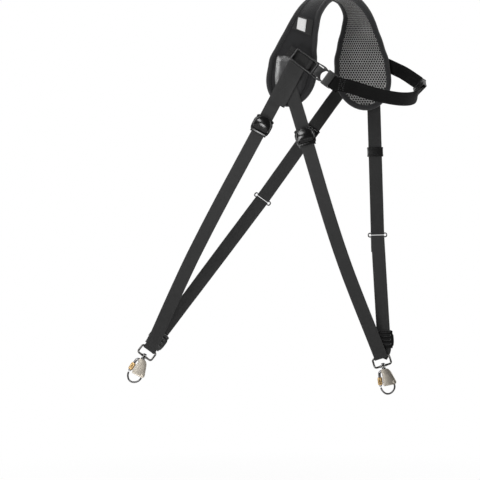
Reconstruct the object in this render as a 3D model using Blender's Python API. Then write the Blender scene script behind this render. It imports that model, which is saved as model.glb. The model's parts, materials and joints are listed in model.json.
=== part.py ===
"""Double camera sling: a shoulder pad, two webbing loops with a snap hook each, and an under-arm strap.

Metres, +Z up. The origin is the underside of the pad's arch, where it sits on the shoulder.
+X is the wearer's side-to-side direction, and -Y is the side of the front lobe.
"""
import math
from collections import namedtuple

import bmesh
import bpy
from mathutils import Matrix, Vector

# Clearances
GAP = 0.0003
PIN_GAP = 0.0002
SLOT_GAP = 0.0006

# Shoulder pad
FRONT_DROP = 0.208
BACK_DROP = 0.208
FRONT_REACH = 0.086
BACK_REACH = 0.063
LOBE_DEPTH = 0.068
FRONT_LOBE_WIDTH = 0.092
BACK_LOBE_WIDTH = 0.107
APEX_TURN_DEG = 37.0
PAD_EDGE_HEIGHT = 0.0025
PAD_CROWN_HEIGHT = 0.0048
LINING_THICKNESS = 0.0022
BINDING_WIDTH = 0.0075
BINDING_THICKNESS = 0.0108

# Pieces sewn on the pad
SKIN_THICKNESS = 0.0010
LABEL_THICKNESS = 0.0008
TAB_WIDTH = 0.033
TAB_LENGTH = 0.082
BACK_TAB_THICKNESS = 0.0015

# Webbing
WEBBING_WIDTH = 0.025
WEBBING_THICKNESS = 0.0015
WEBBING_CHAMFER = 0.0005
SEWN_TAIL = 0.028
ADJUSTER_TAIL = 0.185

# Where the webbing runs: the points of the front face, read as real positions
SLING_LEFT_TOP = (-0.0735, -0.1250)
SLING_LEFT_EDGE = (-0.1161, -0.2051)
SLING_LEFT_MIDDLE = (-0.2531, -0.4623)
SLING_RIGHT_TOP = (-0.0850, -0.1576)
SLING_RIGHT_EDGE = (-0.0692, -0.2080)
SLING_RIGHT_MIDDLE = (0.0101, -0.4641)
SLING_LEFT_RETURN = (-0.3270, -0.6300)
SLING_RIGHT_RETURN = (0.0935, -0.6305)
BACK_LEFT_TOP = (0.0421, -0.1299)
BACK_LEFT_EDGE = (-0.0032, -0.1900)
BACK_RIGHT_TOP = (0.0769, -0.1449)
BACK_RIGHT_EDGE = (0.0788, -0.2055)

# Adjuster loops and sliders on the back straps
LOOP_LEFT_PLACE = (-0.1311, 0.0467, -0.3691)
LOOP_RIGHT_PLACE = (0.0834, 0.0375, -0.4364)
LOOP_WIDTH = 0.0365
LOOP_HEIGHT = 0.0094
LOOP_WIRE = 0.0024
SLIDER_UP = 0.158
SLIDER_HEIGHT = 0.0170
SLIDER_WALL = 0.0016
UNDERARM_SLIDER_HEIGHT = 0.0190

# Swivel rings
RING_LEFT_PLACE = (-0.3404, 0.0, -0.6474)
RING_RIGHT_PLACE = (0.0872, 0.0, -0.6624)
RING_LEFT_SLOPE_DEG = 37.0
RING_RIGHT_SLOPE_DEG = -17.0
RING_LEFT_TURN_DEG = 22.0
RING_RIGHT_TURN_DEG = 4.0
RING_WIDTH = 0.0360
RING_DROP = 0.0170
RING_WIRE = 0.0038
RING_CORNER = 0.0040
BOSS_RADIUS = 0.0046
BOSS_PROUD = 1.02

# Snap hooks
HOOK_LEFT_SLOPE_DEG = 28.0
HOOK_RIGHT_SLOPE_DEG = -11.0
HOOK_HALF = 0.0182
PLATE_LENGTH = 0.0320
PLATE_THICKNESS = 0.0064
POST_RADIUS = 0.0018
HEAD_RADIUS = 0.0037
HEAD_HEIGHT = 0.0024
COLLAR_HEIGHT = 0.0026
ARM_RADIUS = 0.0026
SLEEVE_RADIUS = 0.0045
SLEEVE_LENGTH = 0.0140
SLEEVE_PLACE = 0.54
BAIL_WIRE = 0.0034
BAIL_DROP = 0.0155
PIN_RADIUS = 0.0013

# Cam-lock bumpers
BUMPER_WIDTH = 0.0370
BUMPER_LENGTH = 0.0340
BUMPER_BASE = 0.0022
RIB_HEIGHT = 0.0012
RIB_LENGTH = 0.0032
CHEEK_INSET = 0.0030
CHEEK_ROUND = 0.0022
LEVER_WIDTH = 0.0330
LEVER_LENGTH = 0.0220
LEVER_BULGE = 0.0040
LEVER_EDGE = 0.0014
BARREL_RADIUS = 0.0023
STUB_RADIUS = 0.0013
BRIDGE_LENGTH = 0.0050
BRIDGE_THICKNESS = 0.0026
UPPER_LEFT_BUMPER_ALONG = 0.0370
UPPER_RIGHT_BUMPER_ALONG = 0.0530

# Under-arm strap
LADDER_PLACE = (-0.0767, -0.1053)
BUCKLE_SLOPE_DEG = 36.0
LADDER_LENGTH = 0.050
LADDER_WIDTH = 0.0255
LADDER_RAIL = 0.0028
PRONG_LENGTH = 0.0820
PRONG_THICKNESS = 0.0046
PRONG_WAIST = 0.0120
PRONG_TIP = 0.0030
PRONG_WALL = 0.0026
PRONG_INSERT = 0.0105
SLIT_INSET = 0.0030
SLIT_WIDTH = 0.0017
RECEPTACLE_START = PRONG_LENGTH - PRONG_INSERT
RECEPTACLE_LENGTH = 0.0210
RECEPTACLE_WIDTH = 0.0290
RECEPTACLE_THICKNESS = 0.0100
RECEPTACLE_CORNER = 0.0020
RECEPTACLE_RAIL = 0.0030
POCKET_STOP = 0.0015
WEBBING_SLOT = 0.0040
END_BAR = 0.0040
BUCKLE_TAB_TAIL = 0.0100

PadRow = namedtuple("PadRow", "drop shift depth width turn")

# The pad's middle line and width from the arch's top down each lobe, as shares of the sizes above
FRONT_ROWS = (
    PadRow(0.00, 0.00, 0.00, 0.60, 1.00),
    PadRow(0.05, 0.32, 0.48, 0.57, 0.86),
    PadRow(0.17, 0.55, 0.82, 0.57, 0.54),
    PadRow(0.28, 0.66, 0.93, 0.64, 0.32),
    PadRow(0.43, 0.78, 0.99, 0.78, 0.12),
    PadRow(0.58, 0.88, 1.00, 0.95, 0.00),
    PadRow(0.73, 0.92, 1.00, 1.00, 0.00),
)
BACK_ROWS = (
    PadRow(0.02, 0.44, 0.48, 0.47, 0.86),
    PadRow(0.13, 0.73, 0.82, 0.52, 0.54),
    PadRow(0.23, 0.80, 0.93, 0.62, 0.32),
    PadRow(0.38, 0.835, 0.99, 0.795, 0.12),
    PadRow(0.54, 0.87, 1.00, 0.96, 0.00),
    PadRow(0.70, 0.91, 1.00, 1.00, 0.00),
)
TIP_ANGLES_DEG = (14.0, 28.0, 42.0, 55.0, 67.0, 77.0, 86.0)

# The under-arm strap's middle line after the buckle: place, and how far its edge leans to +X
StrapPoint = namedtuple("StrapPoint", "x y z lean")
UNDERARM_POINTS = (
    StrapPoint(0.0330, -0.0815, -0.1680, 22.0),
    StrapPoint(0.0645, -0.0660, -0.1770, 14.0),
    StrapPoint(0.1022, -0.0440, -0.1842, 9.0),
    StrapPoint(0.1309, -0.0240, -0.1860, 8.0),
    StrapPoint(0.1510, -0.0040, -0.1815, 18.0),
    StrapPoint(0.1610, 0.0180, -0.1620, 30.0),
    StrapPoint(0.1500, 0.0400, -0.1455, 24.0),
    StrapPoint(0.1341, 0.0600, -0.1330, 16.0),
    StrapPoint(0.1200, 0.0735, -0.1248, 20.0),
)
SLIDER_STATION = 5
SLIDER_LEAD = 0.0010
UNDERARM_LANDING = (0.1080, -0.1190)
UNDERARM_END = (0.0820, -0.1070)

# The hook plate's outline as shares of HOOK_HALF and PLATE_LENGTH
PlateCorner = namedtuple("PlateCorner", "across down")
PLATE_OUTLINE = (
    PlateCorner(-0.23, 0.00),
    PlateCorner(0.22, 0.00),
    PlateCorner(0.44, 0.05),
    PlateCorner(0.64, 0.21),
    PlateCorner(1.00, 0.85),
    PlateCorner(0.94, 0.97),
    PlateCorner(0.68, 1.00),
    PlateCorner(-0.30, 1.00),
    PlateCorner(-0.35, 0.95),
    PlateCorner(-0.28, 0.28),
    PlateCorner(-0.38, 0.13),
)

# The hook's side arm and bail as shares of HOOK_HALF and of the plate's length or the bail's drop
PIN_CORNER = PlateCorner(0.74, 0.84)
ARM_PATH = (
    PlateCorner(-0.10, 0.13),
    PlateCorner(-0.36, 0.12),
    PlateCorner(-0.51, 0.19),
    PlateCorner(-0.56, 0.30),
    PlateCorner(-0.66, 0.97),
)
BAIL_PATH = (
    PlateCorner(0.74, 0.25),
    PlateCorner(0.62, 0.58),
    PlateCorner(0.36, 0.86),
    PlateCorner(0.04, 0.98),
    PlateCorner(-0.26, 0.90),
    PlateCorner(-0.50, 0.62),
    PlateCorner(-0.62, 0.32),
    PlateCorner(-0.66, 0.06),
)


# One side of the bumper's outline as shares of half its width and half its length
BumperCorner = namedtuple("BumperCorner", "across along")
BUMPER_OUTLINE = (
    BumperCorner(0.68, -1.00),
    BumperCorner(0.935, -0.72),
    BumperCorner(1.00, -0.30),
    BumperCorner(1.00, 0.42),
    BumperCorner(0.88, 0.66),
    BumperCorner(0.945, 0.84),
    BumperCorner(0.775, 1.00),
)
RIB_PLACES = (-0.10, 0.26, 0.62)

# The cheek's foot before the pin and its slope behind it, as shares of the bumper's length
CheekRow = namedtuple("CheekRow", "foot edge crest fall heel")
CHEEK = CheekRow(-0.20, -0.15, 0.28, 0.40, 0.46)


def clear_scene():
    """Start from an empty scene."""
    for obj in list(bpy.data.objects):
        bpy.data.objects.remove(obj, do_unlink=True)


def make_material(name, colour, roughness, metallic=0.0):
    """A Principled material in one colour."""
    material = bpy.data.materials.new(name)
    material.use_nodes = True
    shader = material.node_tree.nodes["Principled BSDF"]
    shader.inputs["Base Color"].default_value = (*colour, 1.0)
    shader.inputs["Roughness"].default_value = roughness
    shader.inputs["Metallic"].default_value = metallic
    return material


def make_materials():
    """One material for each kind of finish."""
    return {
        "nylon": make_material("nylon", (0.020, 0.020, 0.021), 0.75),
        "mesh": make_material("mesh", (0.110, 0.110, 0.112), 0.85),
        "binding": make_material("binding", (0.010, 0.010, 0.011), 0.70),
        "patch": make_material("patch", (0.060, 0.060, 0.062), 0.30),
        "label": make_material("label", (0.800, 0.800, 0.800), 0.60),
        "webbing": make_material("webbing", (0.045, 0.045, 0.046), 0.65),
        "plastic": make_material("plastic", (0.012, 0.012, 0.013), 0.25),
        "nickel": make_material("nickel", (0.700, 0.690, 0.670), 0.15, 1.0),
        "gunmetal": make_material("gunmetal", (0.330, 0.310, 0.280), 0.35, 1.0),
        "brass": make_material("brass", (0.700, 0.420, 0.160), 0.25, 1.0),
        "wire": make_material("wire", (0.090, 0.090, 0.095), 0.30, 1.0),
    }


def make_object(name, mesh, material, matrix=None, smooth_deg=None):
    """Link a mesh as a named object with its material."""
    obj = bpy.data.objects.new(name, mesh)
    bpy.context.scene.collection.objects.link(obj)
    if not mesh.materials:
        mesh.materials.append(material)
    if smooth_deg is not None:
        mesh.shade_smooth()
        mesh.set_sharp_from_angle(angle=math.radians(smooth_deg))
    if matrix is not None:
        obj.matrix_world = matrix
    return obj


def mesh_from(name, points, faces):
    """A closed mesh from points and faces, with its normals out."""
    mesh = bpy.data.meshes.new(name)
    bm = bmesh.new()
    verts = [bm.verts.new(point) for point in points]
    for face in faces:
        bm.faces.new([verts[i] for i in face])
    bmesh.ops.recalc_face_normals(bm, faces=bm.faces)
    bm.to_mesh(mesh)
    bm.free()
    return mesh


def loft(name, rings, closed=False, split=False):
    """Join rings of points that have the same count; an open loft gets a cap at each end.

    With split, every side is two triangles cut the same way, so that layers on each other stay apart.
    """
    count = len(rings[0])
    points = [point for ring in rings for point in ring]
    faces = []
    spans = len(rings) if closed else len(rings) - 1
    for r in range(spans):
        low = r * count
        high = ((r + 1) % len(rings)) * count
        across = rings[r][count // 2] - rings[r][0]
        for i in range(count):
            j = (i + 1) % count
            forward = (rings[r][j] - rings[r][i]).dot(across) >= 0
            if split and forward:
                faces += [(low + i, low + j, high + j), (low + i, high + j, high + i)]
            elif split:
                faces += [(low + j, high + j, high + i), (low + j, high + i, low + i)]
            else:
                faces.append((low + i, low + j, high + j, high + i))
    if not closed:
        faces.append(tuple(range(count)))
        faces.append(tuple(range(len(points) - count, len(points))))
    return mesh_from(name, points, faces)


def extrude_outline(name, outline, low, high, to_point):
    """A plate from a flat outline: to_point turns (a, b, level) into a place."""
    rings = [[to_point(a, b, low) for a, b in outline], [to_point(a, b, high) for a, b in outline]]
    return loft(name, rings)


def box_mesh(name, low, high):
    """A box between two corners."""
    outline = ((low[0], low[1]), (high[0], low[1]), (high[0], high[1]), (low[0], high[1]))
    return extrude_outline(name, outline, low[2], high[2], lambda a, b, c: Vector((a, b, c)))


def rod_mesh(name, start, end, radius, sides=12):
    """A plain round rod from start to end."""
    start, end = Vector(start), Vector(end)
    return tube(name, [start, end], radius, sides)


def tube(name, points, radius, sides, closed=False):
    """A round tube along points; radius is one value or one for each point."""
    points = [Vector(p) for p in points]
    radii = radius if isinstance(radius, (list, tuple)) else [radius] * len(points)
    rings = []
    across = None
    for i, point in enumerate(points):
        before = points[i - 1] if (i or closed) else point
        after = points[(i + 1) % len(points)] if (i + 1 < len(points) or closed) else point
        along = (after - before).normalized()
        if across is None:
            guess = Vector((0.0, 1.0, 0.0))
            if abs(along.dot(guess)) > 0.9:
                guess = Vector((1.0, 0.0, 0.0))
            across = guess
        across = (across - along * across.dot(along)).normalized()
        side = along.cross(across)
        ring = []
        for k in range(sides):
            angle = 2.0 * math.pi * k / sides
            ring.append(point + (across * math.cos(angle) + side * math.sin(angle)) * radii[i])
        rings.append(ring)
    return loft(name, rings, closed)


def combine(base, other, operation):
    """Join, cut or keep the common part of two meshes with an exact Boolean."""
    target = bpy.data.objects.new("target", base)
    tool = bpy.data.objects.new("tool", other)
    for obj in (target, tool):
        bpy.context.scene.collection.objects.link(obj)
    modifier = target.modifiers.new("combine", "BOOLEAN")
    modifier.operation = operation
    modifier.solver = "EXACT"
    modifier.object = tool
    bpy.context.view_layer.update()
    evaluated = target.evaluated_get(bpy.context.evaluated_depsgraph_get())
    result = bpy.data.meshes.new_from_object(evaluated)
    result.name = base.name
    bpy.data.objects.remove(target, do_unlink=True)
    bpy.data.objects.remove(tool, do_unlink=True)
    return result


def join_all(base, others):
    """Unite a mesh with each of the others."""
    for other in others:
        base = combine(base, other, "UNION")
    return base


def cut_all(base, others):
    """Cut each of the others out of a mesh, and split the many-sided faces that the cuts leave."""
    for other in others:
        base = combine(base, other, "DIFFERENCE")
    bm = bmesh.new()
    bm.from_mesh(base)
    bmesh.ops.dissolve_degenerate(bm, edges=bm.edges, dist=1e-6)
    bmesh.ops.triangulate(bm, faces=[face for face in bm.faces if len(face.verts) > 4])
    bm.to_mesh(base)
    bm.free()
    return base


def curve_through(points, steps):
    """A smooth run of places through the points, with straight chords setting the pace."""
    points = [Vector(p) for p in points]
    slopes = []
    for i in range(len(points)):
        low, high = max(i - 1, 0), min(i + 1, len(points) - 1)
        pace = sum((points[k + 1] - points[k]).length for k in range(low, high))
        slopes.append((points[high] - points[low]) / pace)
    run = []
    for i in range(len(points) - 1):
        chord = (points[i + 1] - points[i]).length
        for k in range(steps):
            t = k / steps
            run.append(
                points[i] * (2 * t**3 - 3 * t**2 + 1)
                + slopes[i] * chord * (t**3 - 2 * t**2 + t)
                + points[i + 1] * (3 * t**2 - 2 * t**3)
                + slopes[i + 1] * chord * (t**3 - t**2)
            )
    run.append(points[-1])
    return run


def ribbon(name, places, sides_out, width=WEBBING_WIDTH, thickness=WEBBING_THICKNESS, normals=()):
    """Flat webbing along places, with its width direction at each and, where given, its normal."""
    half, level, chamfer = width / 2, thickness / 2, WEBBING_CHAMFER
    section = (
        (-half, 0.0),
        (-half + chamfer, level),
        (half - chamfer, level),
        (half, 0.0),
        (half - chamfer, -level),
        (-half + chamfer, -level),
    )
    rings = []
    for i, place in enumerate(places):
        before = places[max(i - 1, 0)]
        after = places[min(i + 1, len(places) - 1)]
        along = (after - before).normalized()
        out = sides_out[i].normalized()
        normal = out.cross(along).normalized()
        if i < len(normals) and normals[i]:
            normal = normals[i]
        rings.append([place + out * a + normal * b for a, b in section])
    return loft(name, rings, split=True)


def frame_matrix(place, right, up):
    """A local frame: x along right, z along up, and y away from the viewer."""
    right = right.normalized()
    up = (up - right * up.dot(right)).normalized()
    away = up.cross(right)
    matrix = Matrix((right, away, up)).transposed().to_4x4()
    matrix.translation = place
    return matrix


# Shoulder pad

Row = namedtuple("Row", "centre out normal half fill")


def arch_controls():
    """The rows of both tables as places and widths, from the front lobe over the arch to the back lobe."""
    apex_z = BINDING_THICKNESS / 2
    controls = []
    for row in reversed(FRONT_ROWS):
        place = (-FRONT_REACH * row.shift, -LOBE_DEPTH * row.depth, apex_z - FRONT_DROP * row.drop)
        controls.append((Vector(place), FRONT_LOBE_WIDTH / 2 * row.width, APEX_TURN_DEG * row.turn))
    for row in BACK_ROWS:
        place = (BACK_REACH * row.shift, LOBE_DEPTH * row.depth, apex_z - BACK_DROP * row.drop)
        controls.append((Vector(place), BACK_LOBE_WIDTH / 2 * row.width, APEX_TURN_DEG * row.turn))
    return controls


def pad_rows(steps=2):
    """Rows of the foam's middle surface, whose edge lies one binding width inside the outline."""
    inset = BINDING_WIDTH
    controls = arch_controls()
    places = curve_through([c[0] for c in controls], steps)
    sizes = curve_through([Vector((c[1], math.radians(c[2]), 0.0)) for c in controls], steps)
    apex_z = BINDING_THICKNESS / 2
    front_tip = Vector((-FRONT_REACH, -LOBE_DEPTH, apex_z - FRONT_DROP))
    back_tip = Vector((BACK_REACH, LOBE_DEPTH, apex_z - BACK_DROP))
    straight = Vector((1.0, 0.0, 0.0))
    middle = []
    for i, place in enumerate(places):
        before, after = max(i - 1, 0), min(i + 1, len(places) - 1)
        spread = (sizes[after][0] - sizes[before][0]) / (places[after] - places[before]).length
        half = sizes[i][0] - inset * math.sqrt(1.0 + spread**2)
        angle = sizes[i][1]
        middle.append((place, Vector((math.cos(angle), -math.sin(angle), 0.0)), half, 1.0))

    def lobe_end(base, tip, wide):
        rows = []
        reach = tip - base
        length = reach.length - inset
        for degrees in TIP_ANGLES_DEG:
            angle = math.radians(degrees)
            place = base + reach.normalized() * length * math.sin(angle)
            half = (wide - inset) * math.cos(angle)
            rows.append((place, straight, half, math.sqrt(math.cos(angle))))
        return rows

    front_end = lobe_end(places[0], front_tip, sizes[0][0])
    back_end = lobe_end(places[-1], back_tip, sizes[-1][0])
    rows = list(reversed(front_end)) + middle + back_end
    finished = []
    for i, (place, out, half, fill) in enumerate(rows):
        before, after = rows[max(i - 1, 0)][0], rows[min(i + 1, len(rows) - 1)][0]
        normal = out.cross((after - before).normalized()).normalized()
        finished.append(Row(place, out, normal, half, fill))
    return finished


def crown(fill, share):
    """How high the pad's outer face stands over its middle surface."""
    return PAD_EDGE_HEIGHT + (PAD_CROWN_HEIGHT - PAD_EDGE_HEIGHT) * fill * (1.0 - share**2)


def pad_section(row):
    """The foam's section: crowned outside, flat inside."""
    shares = (-1.0, -0.75, -0.4, 0.0, 0.4, 0.75, 1.0)
    under = -(BINDING_THICKNESS / 2 - GAP - LINING_THICKNESS - GAP)
    ring = [row.centre + row.out * row.half * s + row.normal * crown(row.fill, s) for s in shares]
    ring += [row.centre + row.out * row.half * s + row.normal * under for s in reversed(shares[::3])]
    return ring


def lining_section(row):
    """The mesh layer under the foam."""
    top = -(BINDING_THICKNESS / 2 - GAP - LINING_THICKNESS)
    low = top - LINING_THICKNESS
    rounded = min(0.25 * LINING_THICKNESS / row.half, 0.3)
    section = (
        (-1.0, top), (0.0, top), (1.0, top), (1.0, low * 0.9),
        (1.0 - rounded, low), (0.0, low), (-1.0 + rounded, low), (-1.0, low * 0.9),
    )
    return [row.centre + row.out * row.half * s + row.normal * h for s, h in section]


def binding_section(place, outward, normal):
    """The edge binding: flat against the pad and rounded outside."""
    half_t = BINDING_THICKNESS / 2
    middle = BINDING_WIDTH * 0.4
    section = [(GAP, half_t * 0.8), (GAP, -half_t * 0.8)]
    for degrees in (-90.0, -50.0, 0.0, 50.0, 90.0):
        angle = math.radians(degrees)
        reach = (BINDING_WIDTH - middle) * math.cos(angle)
        section.append((middle + reach, half_t * math.sin(angle)))
    return [place + outward * a + normal * b for a, b in section]


def build_pad(materials):
    """The foam pad, its mesh lining and the binding round both."""
    core = pad_rows()
    foam = loft("shoulder_pad", [pad_section(row) for row in core], split=True)
    make_object("shoulder_pad", foam, materials["nylon"], smooth_deg=40)
    lining = loft("mesh_lining", [lining_section(row) for row in core], split=True)
    make_object("mesh_lining", lining, materials["mesh"], smooth_deg=40)

    right_side = [(row.centre + row.out * row.half, row.normal) for row in core]
    left_side = [(row.centre - row.out * row.half, row.normal) for row in reversed(core)]
    outline = right_side + left_side
    rings = []
    for i, (place, normal) in enumerate(outline):
        before = (place - outline[i - 1][0]).normalized()
        after = (outline[(i + 1) % len(outline)][0] - place).normalized()
        outward = (before + after).cross(normal).normalized()
        rings.append(binding_section(place, outward, normal))
    binding = loft("pad_binding", rings, closed=True, split=True)
    make_object("pad_binding", binding, materials["binding"], smooth_deg=50)
    return core


def front_index(rows, drop):
    """The place among the rows where the front lobe has come down by a share of its drop."""
    level = BINDING_THICKNESS / 2 - FRONT_DROP * drop
    for i in range(len(rows) - 1):
        if rows[i].centre.z <= level <= rows[i + 1].centre.z:
            return i + (level - rows[i].centre.z) / (rows[i + 1].centre.z - rows[i].centre.z)
    return 0.0


def pad_place(rows, index, share, level):
    """A place over the pad's outer face, from a row index, a share of the half width and a height."""
    i = min(int(index), len(rows) - 2)
    t = index - i
    low, high = rows[i], rows[i + 1]
    out = low.out.lerp(high.out, t).normalized()
    normal = low.normal.lerp(high.normal, t).normalized()
    centre = low.centre.lerp(high.centre, t)
    half = low.half * (1 - t) + high.half * t
    fill = low.fill * (1 - t) + high.fill * t
    return centre + out * half * share + normal * (crown(fill, share) + level)


def pad_skin(name, rows, corners, level, thickness, material, cells=(8, 6)):
    """A thin sheet over the pad between four corners, each a (drop, share)."""
    across, down = cells
    (top_left, top_right, low_left, low_right) = corners
    rings = []
    for r in range(down + 1):
        v = r / down
        upper, lower = [], []
        for c in range(across + 1):
            u = c / across
            drop = (top_left[0] * (1 - u) + top_right[0] * u) * (1 - v)
            drop += (low_left[0] * (1 - u) + low_right[0] * u) * v
            share = (top_left[1] * (1 - u) + top_right[1] * u) * (1 - v)
            share += (low_left[1] * (1 - u) + low_right[1] * u) * v
            index = front_index(rows, drop)
            upper.append(pad_place(rows, index, share, level + thickness))
            lower.append(pad_place(rows, index, share, level))
        rings.append(upper + list(reversed(lower)))
    return make_object(name, loft(name, rings, split=True), material, smooth_deg=40)


def build_front_skins(rows, materials):
    """The label band with its bare patch, and the glossy patch on the front lobe."""
    band = ((0.200, -0.80), (0.245, 0.80), (0.315, -0.80), (0.385, 0.84))
    pad_skin("label_band", rows, band, 2 * GAP, LABEL_THICKNESS, materials["webbing"])
    label = ((0.222, -0.66), (0.244, 0.20), (0.322, -0.38), (0.350, 0.34))
    level = 3 * GAP + LABEL_THICKNESS
    pad_skin("label_patch", rows, label, level, LABEL_THICKNESS, materials["label"], cells=(5, 5))
    patch = ((0.550, -0.86), (0.560, 0.86), (0.900, -0.72), (0.900, 0.72))
    pad_skin("front_patch", rows, patch, 2 * GAP, SKIN_THICKNESS, materials["patch"], cells=(8, 8))


def layer_depth(index):
    """How far from y = 0 the middle of a webbing layer lies on a lobe: 0 is next to the pad."""
    face = LOBE_DEPTH + PAD_CROWN_HEIGHT + 2 * GAP + SKIN_THICKNESS
    return face + GAP + WEBBING_THICKNESS / 2 + index * (WEBBING_THICKNESS + GAP)


# Swivel rings and the webbing that hangs on them

Side = namedtuple("Side", "name ring slope turn hook_slope")
SIDES = (
    Side("left", RING_LEFT_PLACE, RING_LEFT_SLOPE_DEG, RING_LEFT_TURN_DEG, HOOK_LEFT_SLOPE_DEG),
    Side("right", RING_RIGHT_PLACE, RING_RIGHT_SLOPE_DEG, RING_RIGHT_TURN_DEG, HOOK_RIGHT_SLOPE_DEG),
)


def ring_frame(side):
    """The ring's frame: x along its bars, z up along the pull, origin in the upper bar."""
    slope, turn = math.radians(side.slope), math.radians(side.turn)
    up = Vector((math.sin(slope), 0.0, math.cos(slope)))
    level = Vector((math.cos(slope), 0.0, -math.sin(slope)))
    bar = level * math.cos(turn) + Vector((0.0, 1.0, 0.0)) * math.sin(turn)
    return frame_matrix(Vector(side.ring), bar, up)


def hook_frame(side):
    """The hook's frame: z up along its post, origin in the ring's lower bar."""
    slope = math.radians(side.hook_slope)
    up = Vector((math.sin(slope), 0.0, math.cos(slope)))
    level = Vector((math.cos(slope), 0.0, -math.sin(slope)))
    place = ring_frame(side) @ Vector((0.0, 0.0, -RING_DROP))
    return frame_matrix(place, level, up)


def rounded_frame_path(width, height, corner, steps=3):
    """The middle line of a wire bent to a rectangle with round corners, in the local x-z plane."""
    path = []
    centres = ((1, 1, 0.0), (-1, 1, 90.0), (-1, -1, 180.0), (1, -1, 270.0))
    for sx, sz, start in centres:
        cx = sx * (width / 2 - corner)
        cz = sz * (height / 2 - corner)
        for k in range(steps + 1):
            angle = math.radians(start + 90.0 * k / steps)
            path.append(Vector((cx + corner * math.cos(angle), 0.0, cz + corner * math.sin(angle))))
    return path


def post_tilt():
    """The most that a ring leans on its hook's post."""
    return math.radians(max(abs(side.slope - side.hook_slope) for side in SIDES))


def ring_mesh():
    """The swivel ring, with the boss that takes the hook's post."""
    wire = RING_WIRE / 2
    path = rounded_frame_path(RING_WIDTH - RING_WIRE, RING_DROP, RING_CORNER)
    path = [p - Vector((0.0, 0.0, RING_DROP / 2)) for p in path]
    body = tube("ring", path, wire, 10, closed=True)
    low = (0.0, 0.0, -RING_DROP - wire * BOSS_PROUD)
    high = (0.0, 0.0, -RING_DROP + wire * BOSS_PROUD)
    body = join_all(body, [rod_mesh("boss", low, high, BOSS_RADIUS, 16)])
    tilt = post_tilt()
    bore = POST_RADIUS / math.cos(tilt) + wire * math.tan(tilt) + PIN_GAP
    through = Vector((0.0, 0.0, RING_WIRE))
    drill = rod_mesh("bore", Vector(low) - through, Vector(high) + through, bore, 16)
    return cut_all(body, [drill])


def perpendicular(direction, axis, towards):
    """The direction square to both, on the side of a third."""
    normal = direction.cross(axis).normalized()
    return normal if normal.dot(towards) > 0 else -normal


FRONT = Vector((0.0, -1.0, 0.0))
BACK = Vector((0.0, 1.0, 0.0))


def wrap_under(centre, start, end, down, radius, steps=8):
    """An arc round a bar that passes its side facing down."""
    first = start.angle(down)
    second = down.angle(end)
    places = []
    for k in range(steps + 1):
        angle = (first + second) * k / steps - first
        toward = start if angle < 0 else end
        square = (toward - down * toward.dot(down)).normalized()
        direction = down * math.cos(abs(angle)) + square * math.sin(abs(angle))
        places.append(centre + direction * radius)
    return places


def flat_width(along):
    """The width direction of webbing that runs along a line and faces the viewer."""
    out = BACK.cross(along).normalized()
    return out if out.x > 0 else -out


# Where the webbing from its lower bumper up to the loop gets its stations
RISE_SHARES = (0.20, 0.40, 0.60, 0.80)


def sling_route(side, top, edge, middle, back, loop_matrix, layer):
    """One sling webbing: pad, ring, and up to the adjuster loop, where its end folds back."""
    ring = ring_frame(side)
    bar = ring.col[0].to_3d().normalized()
    down = -ring.col[2].to_3d().normalized()
    centre = ring.translation
    radius = RING_WIRE / 2 + GAP + WEBBING_THICKNESS / 2
    depth = -layer_depth(layer)
    first = Vector((top[0], depth, top[1]))
    leave = Vector((edge[0], depth, edge[1]))
    share = (leave.z - middle[1]) / (leave.z - centre.z)
    between = Vector((middle[0], depth * (1.0 - share) - radius * share, middle[1]))
    front_dir = perpendicular(centre - between, bar, FRONT)
    loop_bar = loop_matrix.col[0].to_3d().normalized()
    loop_up = loop_matrix.col[2].to_3d().normalized()
    low_bar = loop_matrix @ Vector((0.0, 0.0, -(LOOP_HEIGHT - LOOP_WIRE) / 2))
    share = (back[1] - centre.z) / (low_bar.z - centre.z)
    seat = Vector((back[0], radius + (low_bar.y - radius) * share, back[1]))
    back_dir = perpendicular(seat - centre, bar, BACK)
    arc = wrap_under(centre, front_dir, back_dir, down, radius)
    loop_radius = LOOP_WIRE / 2 + GAP + WEBBING_THICKNESS / 2
    into = perpendicular(low_bar - centre, loop_bar, FRONT)
    hook_over = wrap_under(low_bar, into, -into, loop_up, loop_radius)
    run_down = (centre - low_bar).normalized()
    tail = low_bar - into * loop_radius + run_down * SEWN_TAIL

    front_width = flat_width(centre - between)
    bend = curve_through([leave, between, arc[0]], 5)
    places = [first, leave + (first - leave).normalized() * 0.004] + bend + arc[1:]
    outs = [front_width, front_width]
    for i in range(len(bend)):
        turn = max(0.0, (i / (len(bend) - 1) - 0.5) * 2.0)
        outs.append(front_width.lerp(bar, turn**2).normalized())
    outs += [bar] * (len(arc) - 1)
    climb = (hook_over[0] - seat).normalized()
    low_seat, high_seat = seat - climb * BUMPER_LENGTH * 0.52, seat + climb * BUMPER_LENGTH * 0.6
    square = (bar - climb * bar.dot(climb)).normalized()
    rise = [high_seat.lerp(hook_over[0], share) for share in RISE_SHARES]
    places += [low_seat, high_seat] + rise + hook_over + [tail]
    outs += [square, square]
    for turn in RISE_SHARES:
        outs.append(square.lerp(loop_bar, turn * turn * (3.0 - 2.0 * turn)).normalized())
    outs += [loop_bar] * (len(hook_over) + 1)
    return places, outs, (seat, climb, square)


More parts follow.
